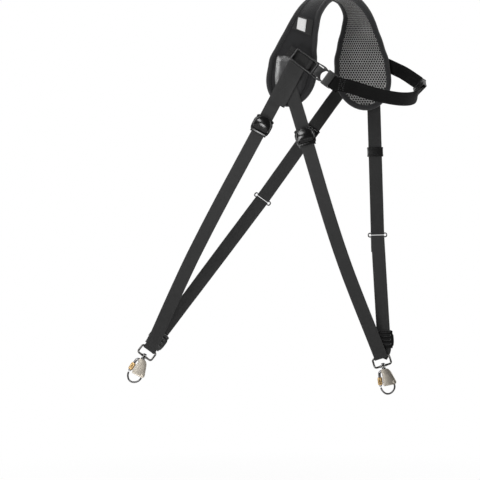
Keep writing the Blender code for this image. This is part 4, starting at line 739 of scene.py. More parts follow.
def pairs(rows):
    """Pairs of millimetres in metres."""
    return [(a * MM, b * MM) for a, b in rows]


def square_to(axis, near=None):
    """A direction square to an axis, near another one."""
    if near is None:
        near = Y_AXIS if abs(axis.dot(Y_AXIS)) < 0.9 else X_AXIS
    return (near - axis * near.dot(axis)).normalized()


def heading_at(places, i):
    """The direction of a line of places at one of them."""
    return (places[min(i + 1, len(places) - 1)] - places[max(i - 1, 0)]).normalized()


def quarters(corners, radius, count):
    """Quarter circles in the XZ plane, each from its centre and its first angle."""
    path = []
    for x, z, first in corners:
        for k in range(count):
            angle = math.radians(first + 90.0 * k / (count - 1))
            path.append(Vector((x + radius * math.cos(angle), 0.0, z + radius * math.sin(angle))))
    return path


def linked(name, data):
    """A new object in the scene."""
    obj = bpy.data.objects.new(name, data)
    bpy.context.scene.collection.objects.link(obj)
    return obj


def evaluated(obj):
    """An object's mesh with its modifiers."""
    graph = bpy.context.evaluated_depsgraph_get()
    return bpy.data.meshes.new_from_object(obj.evaluated_get(graph))


def map_uv(mesh, layout):
    """Give a mesh a UV map in metres, a pair for each corner of its faces."""
    layer = mesh.uv_layers.new(name="UVMap")
    for loop, pair in zip(layer.data, layout):
        loop.uv = pair


def refine(rows, reach, least=1):
    """Smooth rows of numbers whose first three are a place; a long chord is split."""
    places = [Vector(row[:3]) for row in rows]
    spans = [(b - a).length for a, b in zip(places, places[1:])]
    slopes = []
    for i in range(len(rows)):
        low, high = max(i - 1, 0), min(i + 1, len(rows) - 1)
        pace = sum(spans[low:high])
        slopes.append([(b - a) / pace for a, b in zip(rows[low], rows[high])])
    fine = []
    for i, span in enumerate(spans):
        steps = max(least, math.ceil(span / reach))
        for k in range(steps):
            t = k / steps
            weights = (2 * t**3 - 3 * t**2 + 1, (t**3 - 2 * t**2 + t) * span,
                       3 * t**2 - 2 * t**3, (t**3 - t**2) * span)
            parts = zip(rows[i], slopes[i], rows[i + 1], slopes[i + 1])
            fine.append(tuple(sum(w * v for w, v in zip(weights, four)) for four in parts))
    fine.append(tuple(rows[-1]))
    return fine


def runs(places, closed=False):
    """The length run at each place."""
    total, run = 0.0, [0.0]
    for a, b in zip(places, places[1:] + (places[:1] if closed else [])):
        total += (b - a).length
        run.append(total)
    return run


def outward(mesh):
    """Weld a mesh and turn its faces out."""
    bm = bmesh.new()
    bm.from_mesh(mesh)
    bmesh.ops.remove_doubles(bm, verts=bm.verts, dist=WELD)
    bmesh.ops.dissolve_degenerate(bm, edges=bm.edges, dist=SLIVER)
    bmesh.ops.recalc_face_normals(bm, faces=bm.faces)
    bm.to_mesh(mesh)
    bm.free()
    return mesh


def loft(name, rings, across=None, along=None, closed=False, ends=True):
    """A skin over rings of points, with a UV map in metres."""
    count, total = len(rings[0]), len(rings)
    mesh = bpy.data.meshes.new(name)
    faces, layout = [], []
    across = across or [k / count for k in range(count + 1)]
    along = along or [k / total for k in range(total + 1)]
    for r in range(total if closed else total - 1):
        low, high = r * count, ((r + 1) % total) * count
        for i in range(count):
            j = (i + 1) % count
            faces.append((low + i, low + j, high + j, high + i))
            layout += [(across[i], along[r]), (across[i + 1], along[r]),
                       (across[i + 1], along[r + 1]), (across[i], along[r + 1])]
    if ends and not closed:
        for ring, first in ((0, 0), (total - 1, (total - 1) * count)):
            faces.append(tuple(range(first, first + count)))
            layout += [(across[i], along[ring]) for i in range(count)]
    mesh.from_pydata([tuple(p) for ring in rings for p in ring], [], faces)
    map_uv(mesh, layout)
    return outward(mesh)


def tube(name, places, radius, sides=20, closed=False):
    """A round tube along places; radius is one value or one for each place."""
    places = [Vector(p) for p in places]
    radii = radius if isinstance(radius, (list, tuple)) else [radius] * len(places)
    rings, side = [], None
    for i, place in enumerate(places):
        before = places[i - 1] if (i or closed) else place
        after = places[(i + 1) % len(places)] if (i + 1 < len(places) or closed) else place
        heading = (after - before).normalized()
        side = square_to(heading, side)
        other = heading.cross(side)
        turns = [2.0 * math.pi * k / sides for k in range(sides)]
        rings.append([place + (side * math.cos(a) + other * math.sin(a)) * radii[i] for a in turns])
    return loft(name, rings, closed=closed)


def turned(name, profile, place, axis, sides=32, closed=False, ridges=0, ridge=0.0):
    """A shape turned on an axis, from rows of radius, level and, where it is ridged, a share."""
    axis = axis.normalized()
    side = square_to(axis)
    other = axis.cross(side)
    rings = []
    for row in profile:
        radius, level, depth = row if len(row) == 3 else (*row, 0.0)
        ring = []
        for k in range(sides):
            angle = 2.0 * math.pi * k / sides
            wide = radius - ridge * depth * (0.5 + 0.5 * math.cos(ridges * angle))
            way = side * math.cos(angle) + other * math.sin(angle)
            ring.append(place + axis * level + way * wide)
        rings.append(ring)
    return loft(name, rings, closed=closed)


def round_corners(outline, radius, steps=4):
    """The outline with an arc in place of each corner."""
    points = [Vector((a, b)) for a, b in outline]
    rounded = []
    for i, corner in enumerate(points):
        before, after = points[i - 1] - corner, points[(i + 1) % len(points)] - corner
        if before.length < 1e-9 or after.length < 1e-9:
            continue
        cut = min(radius, before.length * 0.45, after.length * 0.45)
        start, end = corner + before.normalized() * cut, corner + after.normalized() * cut
        for k in range(steps + 1):
            t = k / steps
            spot = start * (1 - t) ** 2 + corner * 2 * t * (1 - t) + end * t**2
            rounded.append((spot.x, spot.y))
    return rounded


FACE_ON = Matrix(((1, 0, 0), (0, 0, 1), (0, 1, 0))).to_4x4()
END_ON = Matrix(((1, 0, 0), (0, 1, 0), (0, 0, 1))).to_4x4()
SIDE_ON = Matrix(((0, 0, 1), (1, 0, 0), (0, 1, 0))).to_4x4()


def plate(name, outlines, low, high, bevel, axes=FACE_ON):
    """A flat plate with rounded edges, from its outline and those of its holes."""
    flat = bpy.data.curves.new(name, "CURVE")
    flat.dimensions, flat.fill_mode = "2D", "BOTH"
    flat.bevel_depth = min(bevel, (high - low) * 0.499)
    flat.extrude = (high - low) / 2 - flat.bevel_depth
    flat.bevel_resolution, flat.offset = 2, -flat.bevel_depth
    for outline in outlines:
        spline = flat.splines.new("POLY")
        spline.points.add(len(outline) - 1)
        for point, (a, b) in zip(spline.points, outline):
            point.co = (a, b, 0.0, 1.0)
        spline.use_cyclic_u = True
    obj = linked(name, flat)
    mesh = evaluated(obj)
    bpy.data.objects.remove(obj)
    bpy.data.curves.remove(flat)
    mesh.transform(Matrix.Translation((0.0, 0.0, (low + high) / 2)))
    mesh.transform(axes)
    return outward(mesh)


def box_outline(low_a, low_b, high_a, high_b):
    """A rectangle's corners."""
    return [(low_a, low_b), (high_a, low_b), (high_a, high_b), (low_a, high_b)]


def united(name, meshes):
    """Several closed meshes as one."""
    bm = bmesh.new()
    for mesh in meshes:
        bm.from_mesh(mesh)
    whole = bpy.data.meshes.new(name)
    bm.to_mesh(whole)
    bm.free()
    return whole


def applied(name, mesh, set_up):
    """The mesh with the modifiers that set_up adds to its object."""
    obj = linked(name, mesh)
    set_up(obj)
    result = evaluated(obj)
    bpy.data.objects.remove(obj)
    return result


def cut_out(mesh, tool):
    """The mesh less the tool."""
    other = linked("tool", tool)

    def set_up(obj):
        modifier = obj.modifiers.new("cut", "BOOLEAN")
        modifier.operation, modifier.solver, modifier.object = "DIFFERENCE", "EXACT", other

    result = applied("cut", mesh, set_up)
    bpy.data.objects.remove(other)
    return result


def seat_matrix(seat):
    """A table seat as a matrix: x along its width, z along its height."""
    right = Vector((seat.right_x, seat.right_y, seat.right_z)).normalized()
    up = square_to(right, Vector((seat.up_x, seat.up_y, seat.up_z)))
    matrix = Matrix((right, up.cross(right), up)).transposed().to_4x4()
    matrix.translation = Vector((seat.x, seat.y, seat.z)) * MM
    return matrix


def node_facts(node):
    """The body a node rides on and its material slot."""
    owner = frame["nodes"][node].parent
    body = next(name for name, empty in frame["bodies"].items() if empty == owner)
    slot = next(s["material_slot"] for s in frame["record"]["subparts"] if s["node"] == node)
    return body, slot


def place_piece(name, mesh, materials, node, stands=True, smooth=35.0, seat=None):
    """Link a finished mesh that rides where its node does, and that may stand for the node."""
    if seat is not None:
        mesh.transform(seat_matrix(SEATS[seat]))
    if not mesh.materials:
        for material in materials:
            mesh.materials.append(material)
    if smooth:
        mesh.shade_smooth()
        mesh.set_sharp_from_angle(angle=math.radians(smooth))
    mesh.name = name
    obj = linked(name, mesh)
    body, slot = node_facts(node)
    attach(obj, body)
    if stands:
        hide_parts(node)
    return obj


# Geometry Nodes

def new_group(name, sockets):
    """A geometry tree with its named inputs, and its input and output nodes."""
    tree = bpy.data.node_groups.new(name, "GeometryNodeTree")
    tree.interface.new_socket("Geometry", in_out="INPUT", socket_type="NodeSocketGeometry")
    for label, kind in sockets:
        tree.interface.new_socket(label, in_out="INPUT", socket_type=kind)
    tree.interface.new_socket("Geometry", in_out="OUTPUT", socket_type="NodeSocketGeometry")
    return tree, tree.nodes.new("NodeGroupInput"), tree.nodes.new("NodeGroupOutput")


def stitch_group():
    """Stitches along the edges of a mesh."""
    tree, start, end = new_group("Sling stitches", (
        ("Length", "NodeSocketFloat"), ("Pitch", "NodeSocketFloat"),
        ("Radius", "NodeSocketFloat"), ("Thread", "NodeSocketMaterial")))
    line = add(tree, "GeometryNodeMeshToCurve", {0: start.outputs["Geometry"]})
    spots = add(tree, "GeometryNodeCurveToPoints", {"Curve": line.outputs[0],
                "Length": start.outputs["Pitch"]}, mode="LENGTH")
    bead = add(tree, "GeometryNodeMeshUVSphere", {"Segments": 6, "Rings": 5, "Radius": 1.0})
    half = calc(tree, "MULTIPLY", start.outputs["Length"], 0.5)
    size = add(tree, "ShaderNodeCombineXYZ", {0: start.outputs["Radius"],
               1: start.outputs["Radius"], 2: half})
    stitch = add(tree, "GeometryNodeTransform", {"Geometry": bead.outputs["Mesh"],
                 "Scale": size.outputs[0]})
    rows = add(tree, "GeometryNodeInstanceOnPoints", {"Points": spots.outputs["Points"],
               "Instance": stitch.outputs[0], "Rotation": spots.outputs["Rotation"]})
    real = add(tree, "GeometryNodeRealizeInstances", {"Geometry": rows.outputs[0]})
    smooth = add(tree, "GeometryNodeSetShadeSmooth", {"Geometry": real.outputs[0]})
    done = add(tree, "GeometryNodeSetMaterial", {"Geometry": smooth.outputs[0],
               "Material": start.outputs["Thread"]})
    tree.links.new(done.outputs[0], end.inputs[0])
    return tree


def hole_group():
    """A sunk hole in each marked cell of a mesh."""
    tree, start, end = new_group("Sling lining holes", (
        ("Share", "NodeSocketFloat"), ("Depth", "NodeSocketFloat"),
        ("Knit", "NodeSocketMaterial"), ("Backing", "NodeSocketMaterial")))
    marked = add(tree, "GeometryNodeInputNamedAttribute", {"Name": "cell"}, data_type="BOOLEAN")
    rim = add(tree, "GeometryNodeExtrudeMesh", {"Mesh": start.outputs["Geometry"],
              "Selection": marked.outputs[0], "Offset Scale": 0.0, "Individual": True}, mode="FACES")
    small = add(tree, "GeometryNodeScaleElements", {"Geometry": rim.outputs[0],
                "Selection": rim.outputs[1], "Scale": start.outputs["Share"]}, domain="FACE")
    deep = calc(tree, "MULTIPLY", start.outputs["Depth"], -1.0)
    sunk = add(tree, "GeometryNodeExtrudeMesh", {"Mesh": small.outputs[0],
               "Selection": rim.outputs[1], "Offset Scale": deep, "Individual": True}, mode="FACES")
    real = add(tree, "GeometryNodeRealizeInstances", {"Geometry": sunk.outputs[0]})
    knit = add(tree, "GeometryNodeSetMaterial", {"Geometry": real.outputs[0],
               "Material": start.outputs["Knit"]})
    inside = add(tree, "FunctionNodeBooleanMath", {0: sunk.outputs[1], 1: sunk.outputs[2]},
                 operation="OR")
    done = add(tree, "GeometryNodeSetMaterial", {"Geometry": knit.outputs[0],
               "Selection": inside.outputs[0], "Material": start.outputs["Backing"]})
    tree.links.new(done.outputs[0], end.inputs[0])
    return tree


def grown(name, mesh, maker, values):
    """The mesh that a geometry tree makes from another, with its inputs set by identifier."""
    tree = bpy.data.node_groups.get(name) or maker()

    def set_up(obj):
        modifier = obj.modifiers.new(name, "NODES")
        modifier.node_group = tree
        for item in tree.interface.items_tree:
            if item.in_out == "INPUT" and item.name in values:
                modifier[item.identifier] = values[item.name]

    return applied(name, mesh, set_up)


def sew(name, lines, node, thread="thread", pitch=None, length=None):
    """Rows of stitches along lines of places, riding with a node."""
    detail = settings("detail")
    mesh = bpy.data.meshes.new(name)
    points, edges = [], []
    for line in lines:
        first = len(points)
        points += [tuple(p) for p in line]
        edges += [(first + k, first + k + 1) for k in range(len(line) - 1)]
    mesh.from_pydata(points, edges, [])
    values = {"Length": length or detail.stitch_length, "Pitch": pitch or detail.stitch_pitch,
              "Radius": detail.thread_radius, "Thread": finish(thread)}
    made = grown("Sling stitches", mesh, stitch_group, values)
    return place_piece(name, made, [], node, stands=False, smooth=None)


# Pad

Row = namedtuple("Row", "centre out normal half fill run")


def pad_rows():
    """The pad's rows, close together, from the front lobe's tip to the back lobe's tip."""
    table = [metres(row)[:3] + (row.turn, row.half * MM, row.fill) for row in PAD_ROWS]
    fine = refine(table, 3.2 * MM)
    places = [Vector(row[:3]) for row in fine]
    length = runs(places)
    rows = []
    for i, row in enumerate(fine):
        turn, half, fill = row[3:]
        angle = math.radians(turn)
        out = Vector((math.cos(angle), -math.sin(angle), 0.0))
        normal = out.cross(heading_at(places, i)).normalized()
        rows.append(Row(places[i], out, normal, max(half, 0.5 * MM), max(fill, 0.2), length[i]))
    return rows


PAD = pad_rows()


def crown(fill, share):
    """How high the pad's outer face stands over its middle surface."""
    return PAD_EDGE + (PAD_CROWN - PAD_EDGE) * fill * (1.0 - min(1.0, share**2))


def pad_place(index, share, level, inside=False):
    """A place over the pad's outer face, or under its middle surface, and the way out there."""
    i = min(max(int(index), 0), len(PAD) - 2)
    t = index - i
    low, high = PAD[i], PAD[i + 1]
    out = low.out.lerp(high.out, t).normalized()
    normal = low.normal.lerp(high.normal, t).normalized()
    half = low.half * (1 - t) + high.half * t
    height = level if inside else crown(low.fill * (1 - t) + high.fill * t, share) + level
    place = low.centre.lerp(high.centre, t) + out * half * share + normal * height
    return place, normal


def front_index(drop):
    """The place among the rows where the front lobe has come down by a share of its drop."""
    level = PAD_HALF_THICKNESS - FRONT_DROP * drop
    for i in range(len(PAD) - 1):
        if PAD[i].centre.z <= level <= PAD[i + 1].centre.z:
            return i + (level - PAD[i].centre.z) / (PAD[i + 1].centre.z - PAD[i].centre.z)
    return 0.0


# The simulation's pressure and steps, the share of a row that it moves, and the ripples' height
CLOTH_PRESSURE = 4.0
CLOTH_STEPS = 20
FREE_SHARE = 0.86
SMALL_RIPPLE = 0.22 * MM


def puff_up(obj, mesh, swell):
    """Let a cloth simulation blow up the pad's outer face, its edge held, by less than the swell."""
    start = [v.co.copy() for v in mesh.vertices]
    held = obj.vertex_groups.new(name="held")
    fixed = [v.index for v in mesh.vertices if not rides_free(v.co)]
    held.add(fixed, 1.0, "REPLACE")
    cloth = obj.modifiers.new("Cloth", "CLOTH")
    cloth.settings.use_pressure = True
    cloth.settings.uniform_pressure_force = CLOTH_PRESSURE
    cloth.settings.effector_weights.gravity = 0.0
    cloth.settings.vertex_group_mass = "held"
    cloth.settings.quality = 5
    cloth.point_cache.frame_start, cloth.point_cache.frame_end = 1, CLOTH_STEPS
    for number in range(1, CLOTH_STEPS + 1):
        bpy.context.scene.frame_set(number)
    puffed = evaluated(obj)
    obj.modifiers.clear()
    bpy.context.scene.frame_set(1)
    limit = swell * 0.95
    for vertex, place, moved in zip(mesh.vertices, start, puffed.vertices):
        move = moved.co - place
        vertex.co = place + move * min(1.0, limit / max(move.length, 1e-9))


def build_pad_body():
    """The foam pad under its nylon face: lofted, then puffed up by a cloth simulation."""
    detail = settings("detail")
    top = [-1.0 + 2.0 * k / 22 for k in range(23)]
    under = [0.9 - 1.8 * k / 9 for k in range(10)]
    rings = []
    for row in PAD:
        ring = []
        for share in top:
            level = crown(row.fill, share) - detail.swell * (1.0 - share**4) * row.fill
            ring.append(row.centre + row.out * row.half * share + row.normal * level)
        ring += [row.centre + row.out * row.half * s - row.normal * PAD_FOAM_UNDER for s in under]
        rings.append(ring)
    widest = max(row.half for row in PAD)
    across = [widest * s for s in top] + [widest * s for s in under] + [-widest]
    mesh = loft("nylon_pad", rings, across, [row.run for row in PAD])
    obj = linked("nylon_pad_cloth", mesh)
    puff_up(obj, mesh, detail.swell)
    for vertex in mesh.vertices:
        ripple = noise.noise(vertex.co * 55.0) + 0.5 * noise.noise(vertex.co * 140.0)
        vertex.co += vertex.normal * ripple * SMALL_RIPPLE
    bpy.data.objects.remove(obj)

    def set_up(piece):
        modifier = piece.modifiers.new("smooth", "SUBSURF")
        modifier.levels = modifier.render_levels = 1

    piece = place_piece("nylon_pad", applied("nylon_pad", mesh, set_up), [finish("nylon")],
                        "shoulder_pad", smooth=60.0)
    return piece


def rides_free(place):
    """Whether a place of the pad lies on its outer face, away from the bound edge."""
    near = min(PAD, key=lambda row: (row.centre - place).length_squared)
    share = abs((place - near.centre).dot(near.out)) / near.half
    return share < FREE_SHARE and (place - near.centre).dot(near.normal) > 0.0


# A lining cell's corners round its middle, as shares of a column and of a row; how much wider
# than a row a column is; and the share of a lobe's width from which it counts as reached
CELL = ((0.0, -0.6667), (0.5, -0.3333), (0.5, 0.3333), (0.0, 0.6667), (-0.5, 0.3333),
        (-0.5, -0.3333))
CELL_STRETCH = 1.16
LOBE_REACHED = 0.985


def build_lining():
    """The open air mesh on the pad's inner face, with a real hole in each cell."""
    detail = settings("detail")
    pitch = detail.hole_pitch
    widest = max(row.half for row in PAD)
    columns = round(2.0 * widest / (pitch * CELL_STRETCH))
    total = PAD[-1].run
    middle = total * 0.5
    points, faces, marks, layout = {}, [], [], []
    lobes = []
    for rows in ([r for r in PAD if r.run < middle], [r for r in reversed(PAD) if r.run > middle]):
        most = max(row.half for row in rows)
        lobes.append((most, next(row.run for row in rows if row.half > most * LOBE_REACHED)))

    def reference(run, half):
        """The width that the cells share: the lobe's own where its tip narrows."""
        most, reached = lobes[0] if run < middle else lobes[1]
        at_tip = run < reached if run < middle else run > reached
        return most if at_tip else half

    lengths = [row.run for row in PAD]

    def spot(run, slot):
        """A place on the lining's face from the run along the pad and the column."""
        run = min(max(run, 0.0), total)
        i = max(0, min(sum(1 for v in lengths if v <= run) - 1, len(PAD) - 2))
        t = (run - lengths[i]) / (lengths[i + 1] - lengths[i])
        half = PAD[i].half * (1 - t) + PAD[i + 1].half * t
        reach = (slot / columns * 2.0 - 1.0) * reference(run, half)
        share = min(1.0, max(-1.0, reach / half))
        place = pad_place(i + t, share, -PAD_HALF_THICKNESS, inside=True)[0]
        return place, (share * half, run), abs(reach) <= half * 1.0001

    def corner(run, slot):
        """A corner's number, place, UV and whether it lies inside, made once."""
        key = (round(run * 1e6), round(slot * 6))
        if key not in points:
            place, flat, inside = spot(run, slot)
            points[key] = (len(points), place, flat, inside)
        return points[key]

    lines = int(total / pitch) + 1
    for line in range(-1, lines + 1):
        shift = 0.5 if line % 2 else 0.0
        for column in range(-1, columns + 1):
            run, slot = line * pitch, column + 0.5 + shift
            cell = [corner(run + down * pitch, slot + aside) for aside, down in CELL]
            if sum(1 for c in cell if c[3]) < 2:
                continue
            faces.append([c[0] for c in cell])
            layout += [c[2] for c in cell]
            marks.append(all(c[3] for c in cell))
    mesh = bpy.data.meshes.new("air_mesh")
    mesh.from_pydata([tuple(p[1]) for p in points.values()], [], faces)
    map_uv(mesh, layout)
    attribute = mesh.attributes.new("cell", "BOOLEAN", "FACE")
    attribute.data.foreach_set("value", marks)
    bm = bmesh.new()
    bm.from_mesh(mesh)
    bmesh.ops.remove_doubles(bm, verts=bm.verts, dist=0.02 * MM)
    bmesh.ops.dissolve_degenerate(bm, edges=bm.edges, dist=0.01 * MM)
    bmesh.ops.delete(bm, geom=[v for v in bm.verts if not v.link_faces], context="VERTS")
    bmesh.ops.recalc_face_normals(bm, faces=bm.faces)
    some = list(bm.faces)[::97]
    if sum(face.normal.dot(nearest_normal(face.calc_center_median())) for face in some) > 0:
        bmesh.ops.reverse_faces(bm, faces=bm.faces)
    bm.to_mesh(mesh)
    bm.free()
    values = {"Share": detail.hole_share, "Depth": detail.hole_depth, "Knit": finish("knit"),
              "Backing": finish("backing")}
    made = grown("Sling lining holes", mesh, hole_group, values)
    return place_piece("air_mesh", made, [], "mesh_lining", smooth=50.0)


def nearest_normal(place):
    """The way out of the pad's outer face near a place."""
    return min(PAD, key=lambda row: (row.centre - place).length_squared).normal


def pad_outline():
    """Places, outward directions and normals all round the foam's edge."""
    spots = [(row.centre + row.out * row.half, row.normal) for row in PAD]
    spots += [(row.centre - row.out * row.half, row.normal) for row in reversed(PAD)]
    outline = []
    for i, (place, normal) in enumerate(spots):
        before = (place - spots[i - 1][0]).normalized()
        after = (spots[(i + 1) % len(spots)][0] - place).normalized()
        outline.append((place, (before + after).cross(normal).normalized(), normal))
    return outline


# The tape's section from the foam's edge: outward and up, in millimetres
BINDING_SECTION = (
    (-2.3, 3.1), (-1.5, 3.75), (-0.2, 4.5), (1.6, 5.25), (3.2, 5.4), (4.9, 5.0), (6.3, 3.9),
    (7.2, 2.2), (7.5, 0.0), (7.2, -2.2), (6.3, -3.9), (4.9, -5.1), (3.2, -5.75), (1.4, -5.95),
    (-0.6, -6.0), (-2.2, -5.95), (-2.5, -5.7), (-2.3, -5.3), (0.4, -4.8), (0.4, 2.4), (-2.2, 2.6),
)
BINDING_REACH = 7.5 * MM
# Where the tape's stitches lie: how far inside the foam's edge, and how far up, in millimetres
BINDING_SEAMS = ((-0.9, 4.25), (-1.1, -6.05))


def build_binding():
    """The ribbed tape folded round the pad's edge, and its two rows of stitches."""
    outline = pad_outline()
    rings, places = [], []
    for place, way, normal in outline:
        rings.append([place + way * a * MM + normal * b * MM for a, b in BINDING_SECTION])
        places.append(place + way * BINDING_REACH)
    length = runs(places, closed=True)
    across, total = [0.0], 0.0
    for a, b in zip(BINDING_SECTION, BINDING_SECTION[1:] + BINDING_SECTION[:1]):
        total += math.dist(a, b) * MM
        across.append(total)
    mesh = loft("edge_binding", rings, across, length, closed=True)
    place_piece("edge_binding", mesh, [finish("binding")], "pad_binding", smooth=60.0)
    lines = []
    for out, up in BINDING_SEAMS:
        line = [place + way * out * MM + normal * up * MM for place, way, normal in outline]
        lines.append(line + line[:1])
    sew("binding_stitches", lines, "pad_binding")


# The sheets sewn on the front lobe. Each corner, from the upper left to the lower right, is a
# share of the lobe's drop and a share of its half width; the other lengths are in millimetres
Skin = namedtuple("Skin", "piece node look corners level thickness across down puff")
BAND = Skin("label_strip", "label_band", "band",
            ((0.200, -0.80), (0.245, 0.80), (0.315, -0.80), (0.385, 0.84)), 0.6, 0.8, 22, 12, 0.0)
LABEL = Skin("bare_label", "label_patch", "label",
             ((0.222, -0.66), (0.244, 0.20), (0.322, -0.38), (0.350, 0.34)), 1.7, 0.8, 14, 14, 0.0)
PATCH = Skin("vinyl_patch", "front_patch", "vinyl",
             ((0.550, -0.86), (0.560, 0.86), (0.900, -0.72), (0.900, 0.72)), 0.6, 1.0, 26, 24, 0.5)
EDGE_FALL = 0.45
PUFF_CELLS = 3.0


def build_skin(skin):
    """Make one of the sheets and give back the grid of its outer face."""
    across, down = skin.across, skin.down
    top_left, top_right, low_left, low_right = skin.corners
    level, thickness = skin.level * MM, skin.thickness * MM

    def between(k, u, v):
        """A corner's value, blended from the four corners."""
        top = top_left[k] * (1 - u) + top_right[k] * u
        low = low_left[k] * (1 - u) + low_right[k] * u
        return top * (1 - v) + low * v

    grid = []
    for r in range(down + 1):
        v = r / down
        row = []
        for c in range(across + 1):
            u = c / across
            share = between(1, u, v)
            edge = min(min(u, 1 - u) * across, min(v, 1 - v) * down)
            fall = EDGE_FALL * thickness if edge < 0.5 else 0.0
            rise = skin.puff * MM * min(1.0, edge / PUFF_CELLS)
            index = front_index(between(0, u, v))
            place, normal = pad_place(index, share, level + thickness - fall + rise)
            ripple = noise.noise(place * 90.0) * 0.15 * MM
            row.append((place + normal * ripple, pad_place(index, share, level)[0]))
        grid.append(row)
    rings = [[p[0] for p in row] + [p[1] for p in reversed(row)] for row in grid]
    flat = [0.0]
    for a, b in zip(rings[0], rings[0][1:] + rings[0][:1]):
        flat.append(flat[-1] + (b - a).length)
    along = runs([ring[across // 2] for ring in rings])
    mesh = loft("skin", rings, flat, along)
    place_piece(skin.piece, mesh, [finish(skin.look)], skin.node, smooth=50.0)
    return grid


def inset_line(grid, margin, lift=0.25 * MM, sides="lrtb"):
    """Lines over a skin's face, some cells inside its left, right, top or bottom edge."""
    down, across = len(grid) - 1, len(grid[0]) - 1

    def at(v, u):
        """A place over the grid, at a row and a column that may lie between two."""
        r, c = min(int(v), down - 1), min(int(u), across - 1)
        a, b = v - r, u - c
        top = grid[r][c][0].lerp(grid[r][c + 1][0], b)
        low = grid[r + 1][c][0].lerp(grid[r + 1][c + 1][0], b)
        spot = top.lerp(low, a)
        return spot + nearest_normal(spot) * lift

    steps = 24
    rows = [margin + (down - 2 * margin) * k / steps for k in range(steps + 1)]
    cols = [margin + (across - 2 * margin) * k / steps for k in range(steps + 1)]
    ways = {"l": [(v, margin) for v in rows], "r": [(v, across - margin) for v in rows],
            "t": [(margin, u) for u in cols], "b": [(down - margin, u) for u in cols]}
    return [[at(v, u) for v, u in ways[side]] for side in sides]


def build_front_skins():
    """The band across the front leg, its bare label, and the glossy patch on the lobe."""
    lines = inset_line(build_skin(BAND), 0.9, sides="tb")
    grid = build_skin(LABEL)
    sew("label_stitches", inset_line(grid, 0.8), "label_patch", "pale thread", 2.6 * MM, 1.9 * MM)
    grid = build_skin(PATCH)
    lines += inset_line(grid, 0.9) + inset_line(grid, 1.9, sides="tb")
    sew("front_stitches", lines, "front_patch")


# Webbing and tabs

def tape_section(half, thin, rounds=3, across=8):
    """A strap's section from half its width and half its thickness: flat faces, round edges."""
    section = []
    for sign in (1, -1):
        for k in range(across + 1):
            section.append((sign * (half - thin) * (-1.0 + 2.0 * k / across), sign * thin))
        for k in range(1, rounds + 1):
            angle = math.pi * (0.5 - k / (rounds + 1))
            section.append((sign * (half - thin + thin * math.cos(angle)),
                            sign * thin * math.sin(angle)))
    return section


def strap(table, width=WEBBING_WIDTH, reach=4.0 * MM, dip=0.0):
    """Webbing along a table of stations, with its middle line; dip presses its edges down."""
    fine = refine(stations(table), reach, 2)
    places = [Vector(row[:3]) for row in fine]
    length = runs(places)
    section = tape_section(width / 2.0, WEBBING_THICKNESS / 2.0)
    rings, frames = [], []
    for i, place in enumerate(places):
        heading = heading_at(places, i)
        out = square_to(heading, Vector(fine[i][3:6]))
        normal = out.cross(heading).normalized()
        flutter = noise.noise(Vector((length[i] * 30.0, width * 900.0, places[0].x * 70.0)))
        ring = []
        for a, b in section:
            press = dip * (a / (width / 2.0)) ** 4
            ring.append(place + out * (a + flutter * 0.10 * MM) + normal * (b + press))
        rings.append(ring)
        frames.append((place, out, normal))
    across = [a for a, b in section] + [section[0][0]]
    return loft("strap", rings, across, length), frames, length


def box_stitch(frames, length, start, end, half, lift):
    """A box with a cross in it, sewn on a strap between two runs."""
    def spot(run, a):
        """A place over the strap from the run along it and the way across."""
        i = min(max(sum(1 for v in length if v <= run) - 1, 0), len(frames) - 2)
        t = (run - length[i]) / max(length[i + 1] - length[i], 1e-9)
        place = frames[i][0].lerp(frames[i + 1][0], t)
        return place + frames[i][1] * a + frames[i][2] * lift

    corners = ((start, -half), (start, half), (end, half), (end, -half))
    paths = [(corners[k], corners[(k + 1) % 4]) for k in range(4)]
    paths += [(corners[0], corners[2]), (corners[1], corners[3])]
    steps = 12
    return [[spot(a[0] + (b[0] - a[0]) * k / steps, a[1] + (b[1] - a[1]) * k / steps)
             for k in range(steps + 1)] for a, b in paths]


THREAD_LEVEL = WEBBING_THICKNESS / 2.0 + 0.1 * MM
# Sewn boxes in millimetres: how far before the strap's end they start and end, and their half width
END_BOXES = {"sling": (22.0, 4.0, 9.0), "back": (16.0, 4.0, 9.5)}
# The under-arm webbing's first box from its start, and its second from where its fold ends
FOLD_BOX = (3.0, 13.0, 9.0)
FOLD_END = 4.0
FOLD_BOX_LENGTH = 9.0


def build_webbing():
    """Both slings, both back straps and the two under-arm straps, with their sewn folds."""
    cloth = finish("webbing")
    # Painted shade: back is the darkened copy of the webbing, used for the right back strap
    back = finish("painted shade webbing")
    dark = finish("underarm webbing")
    rows = (
        ("sling_webbing_left", SLING_LEFT, cloth), ("sling_webbing_right", SLING_RIGHT, cloth),
        ("back_strap_left", BACK_STRAP_LEFT, cloth), ("back_strap_right", BACK_STRAP_RIGHT, back),
        ("underarm_webbing", UNDERARM_FRONT, dark), ("underarm_back_webbing", UNDERARM_BACK, dark),
    )
    lines = []
    for node, table, material in rows:
        mesh, frames, length = strap(table)
        place_piece(node.replace("webbing", "strap") + "_woven", mesh, [material], node)
        kind = node.split("_")[0]
        boxes = []
        if kind in END_BOXES:
            before, until, half = (value * MM for value in END_BOXES[kind])
            end = length[-1]
            boxes = [(end - before, end - until, half, side) for side in (1, -1)]
        elif node == "underarm_webbing":
            low, high, half = (value * MM for value in FOLD_BOX)
            run = next(length[i] for i, f in enumerate(frames) if f[0].x > FOLD_END * MM and i > 20)
            boxes = [(low, high, half, -1)]
            boxes += [(run, run + FOLD_BOX_LENGTH * MM, half, side) for side in (1, -1)]
        for low, high, half, side in boxes:
            lines += box_stitch(frames, length, low, high, half, side * THREAD_LEVEL)
    sew("strap_stitches", lines, "sling_webbing_left")


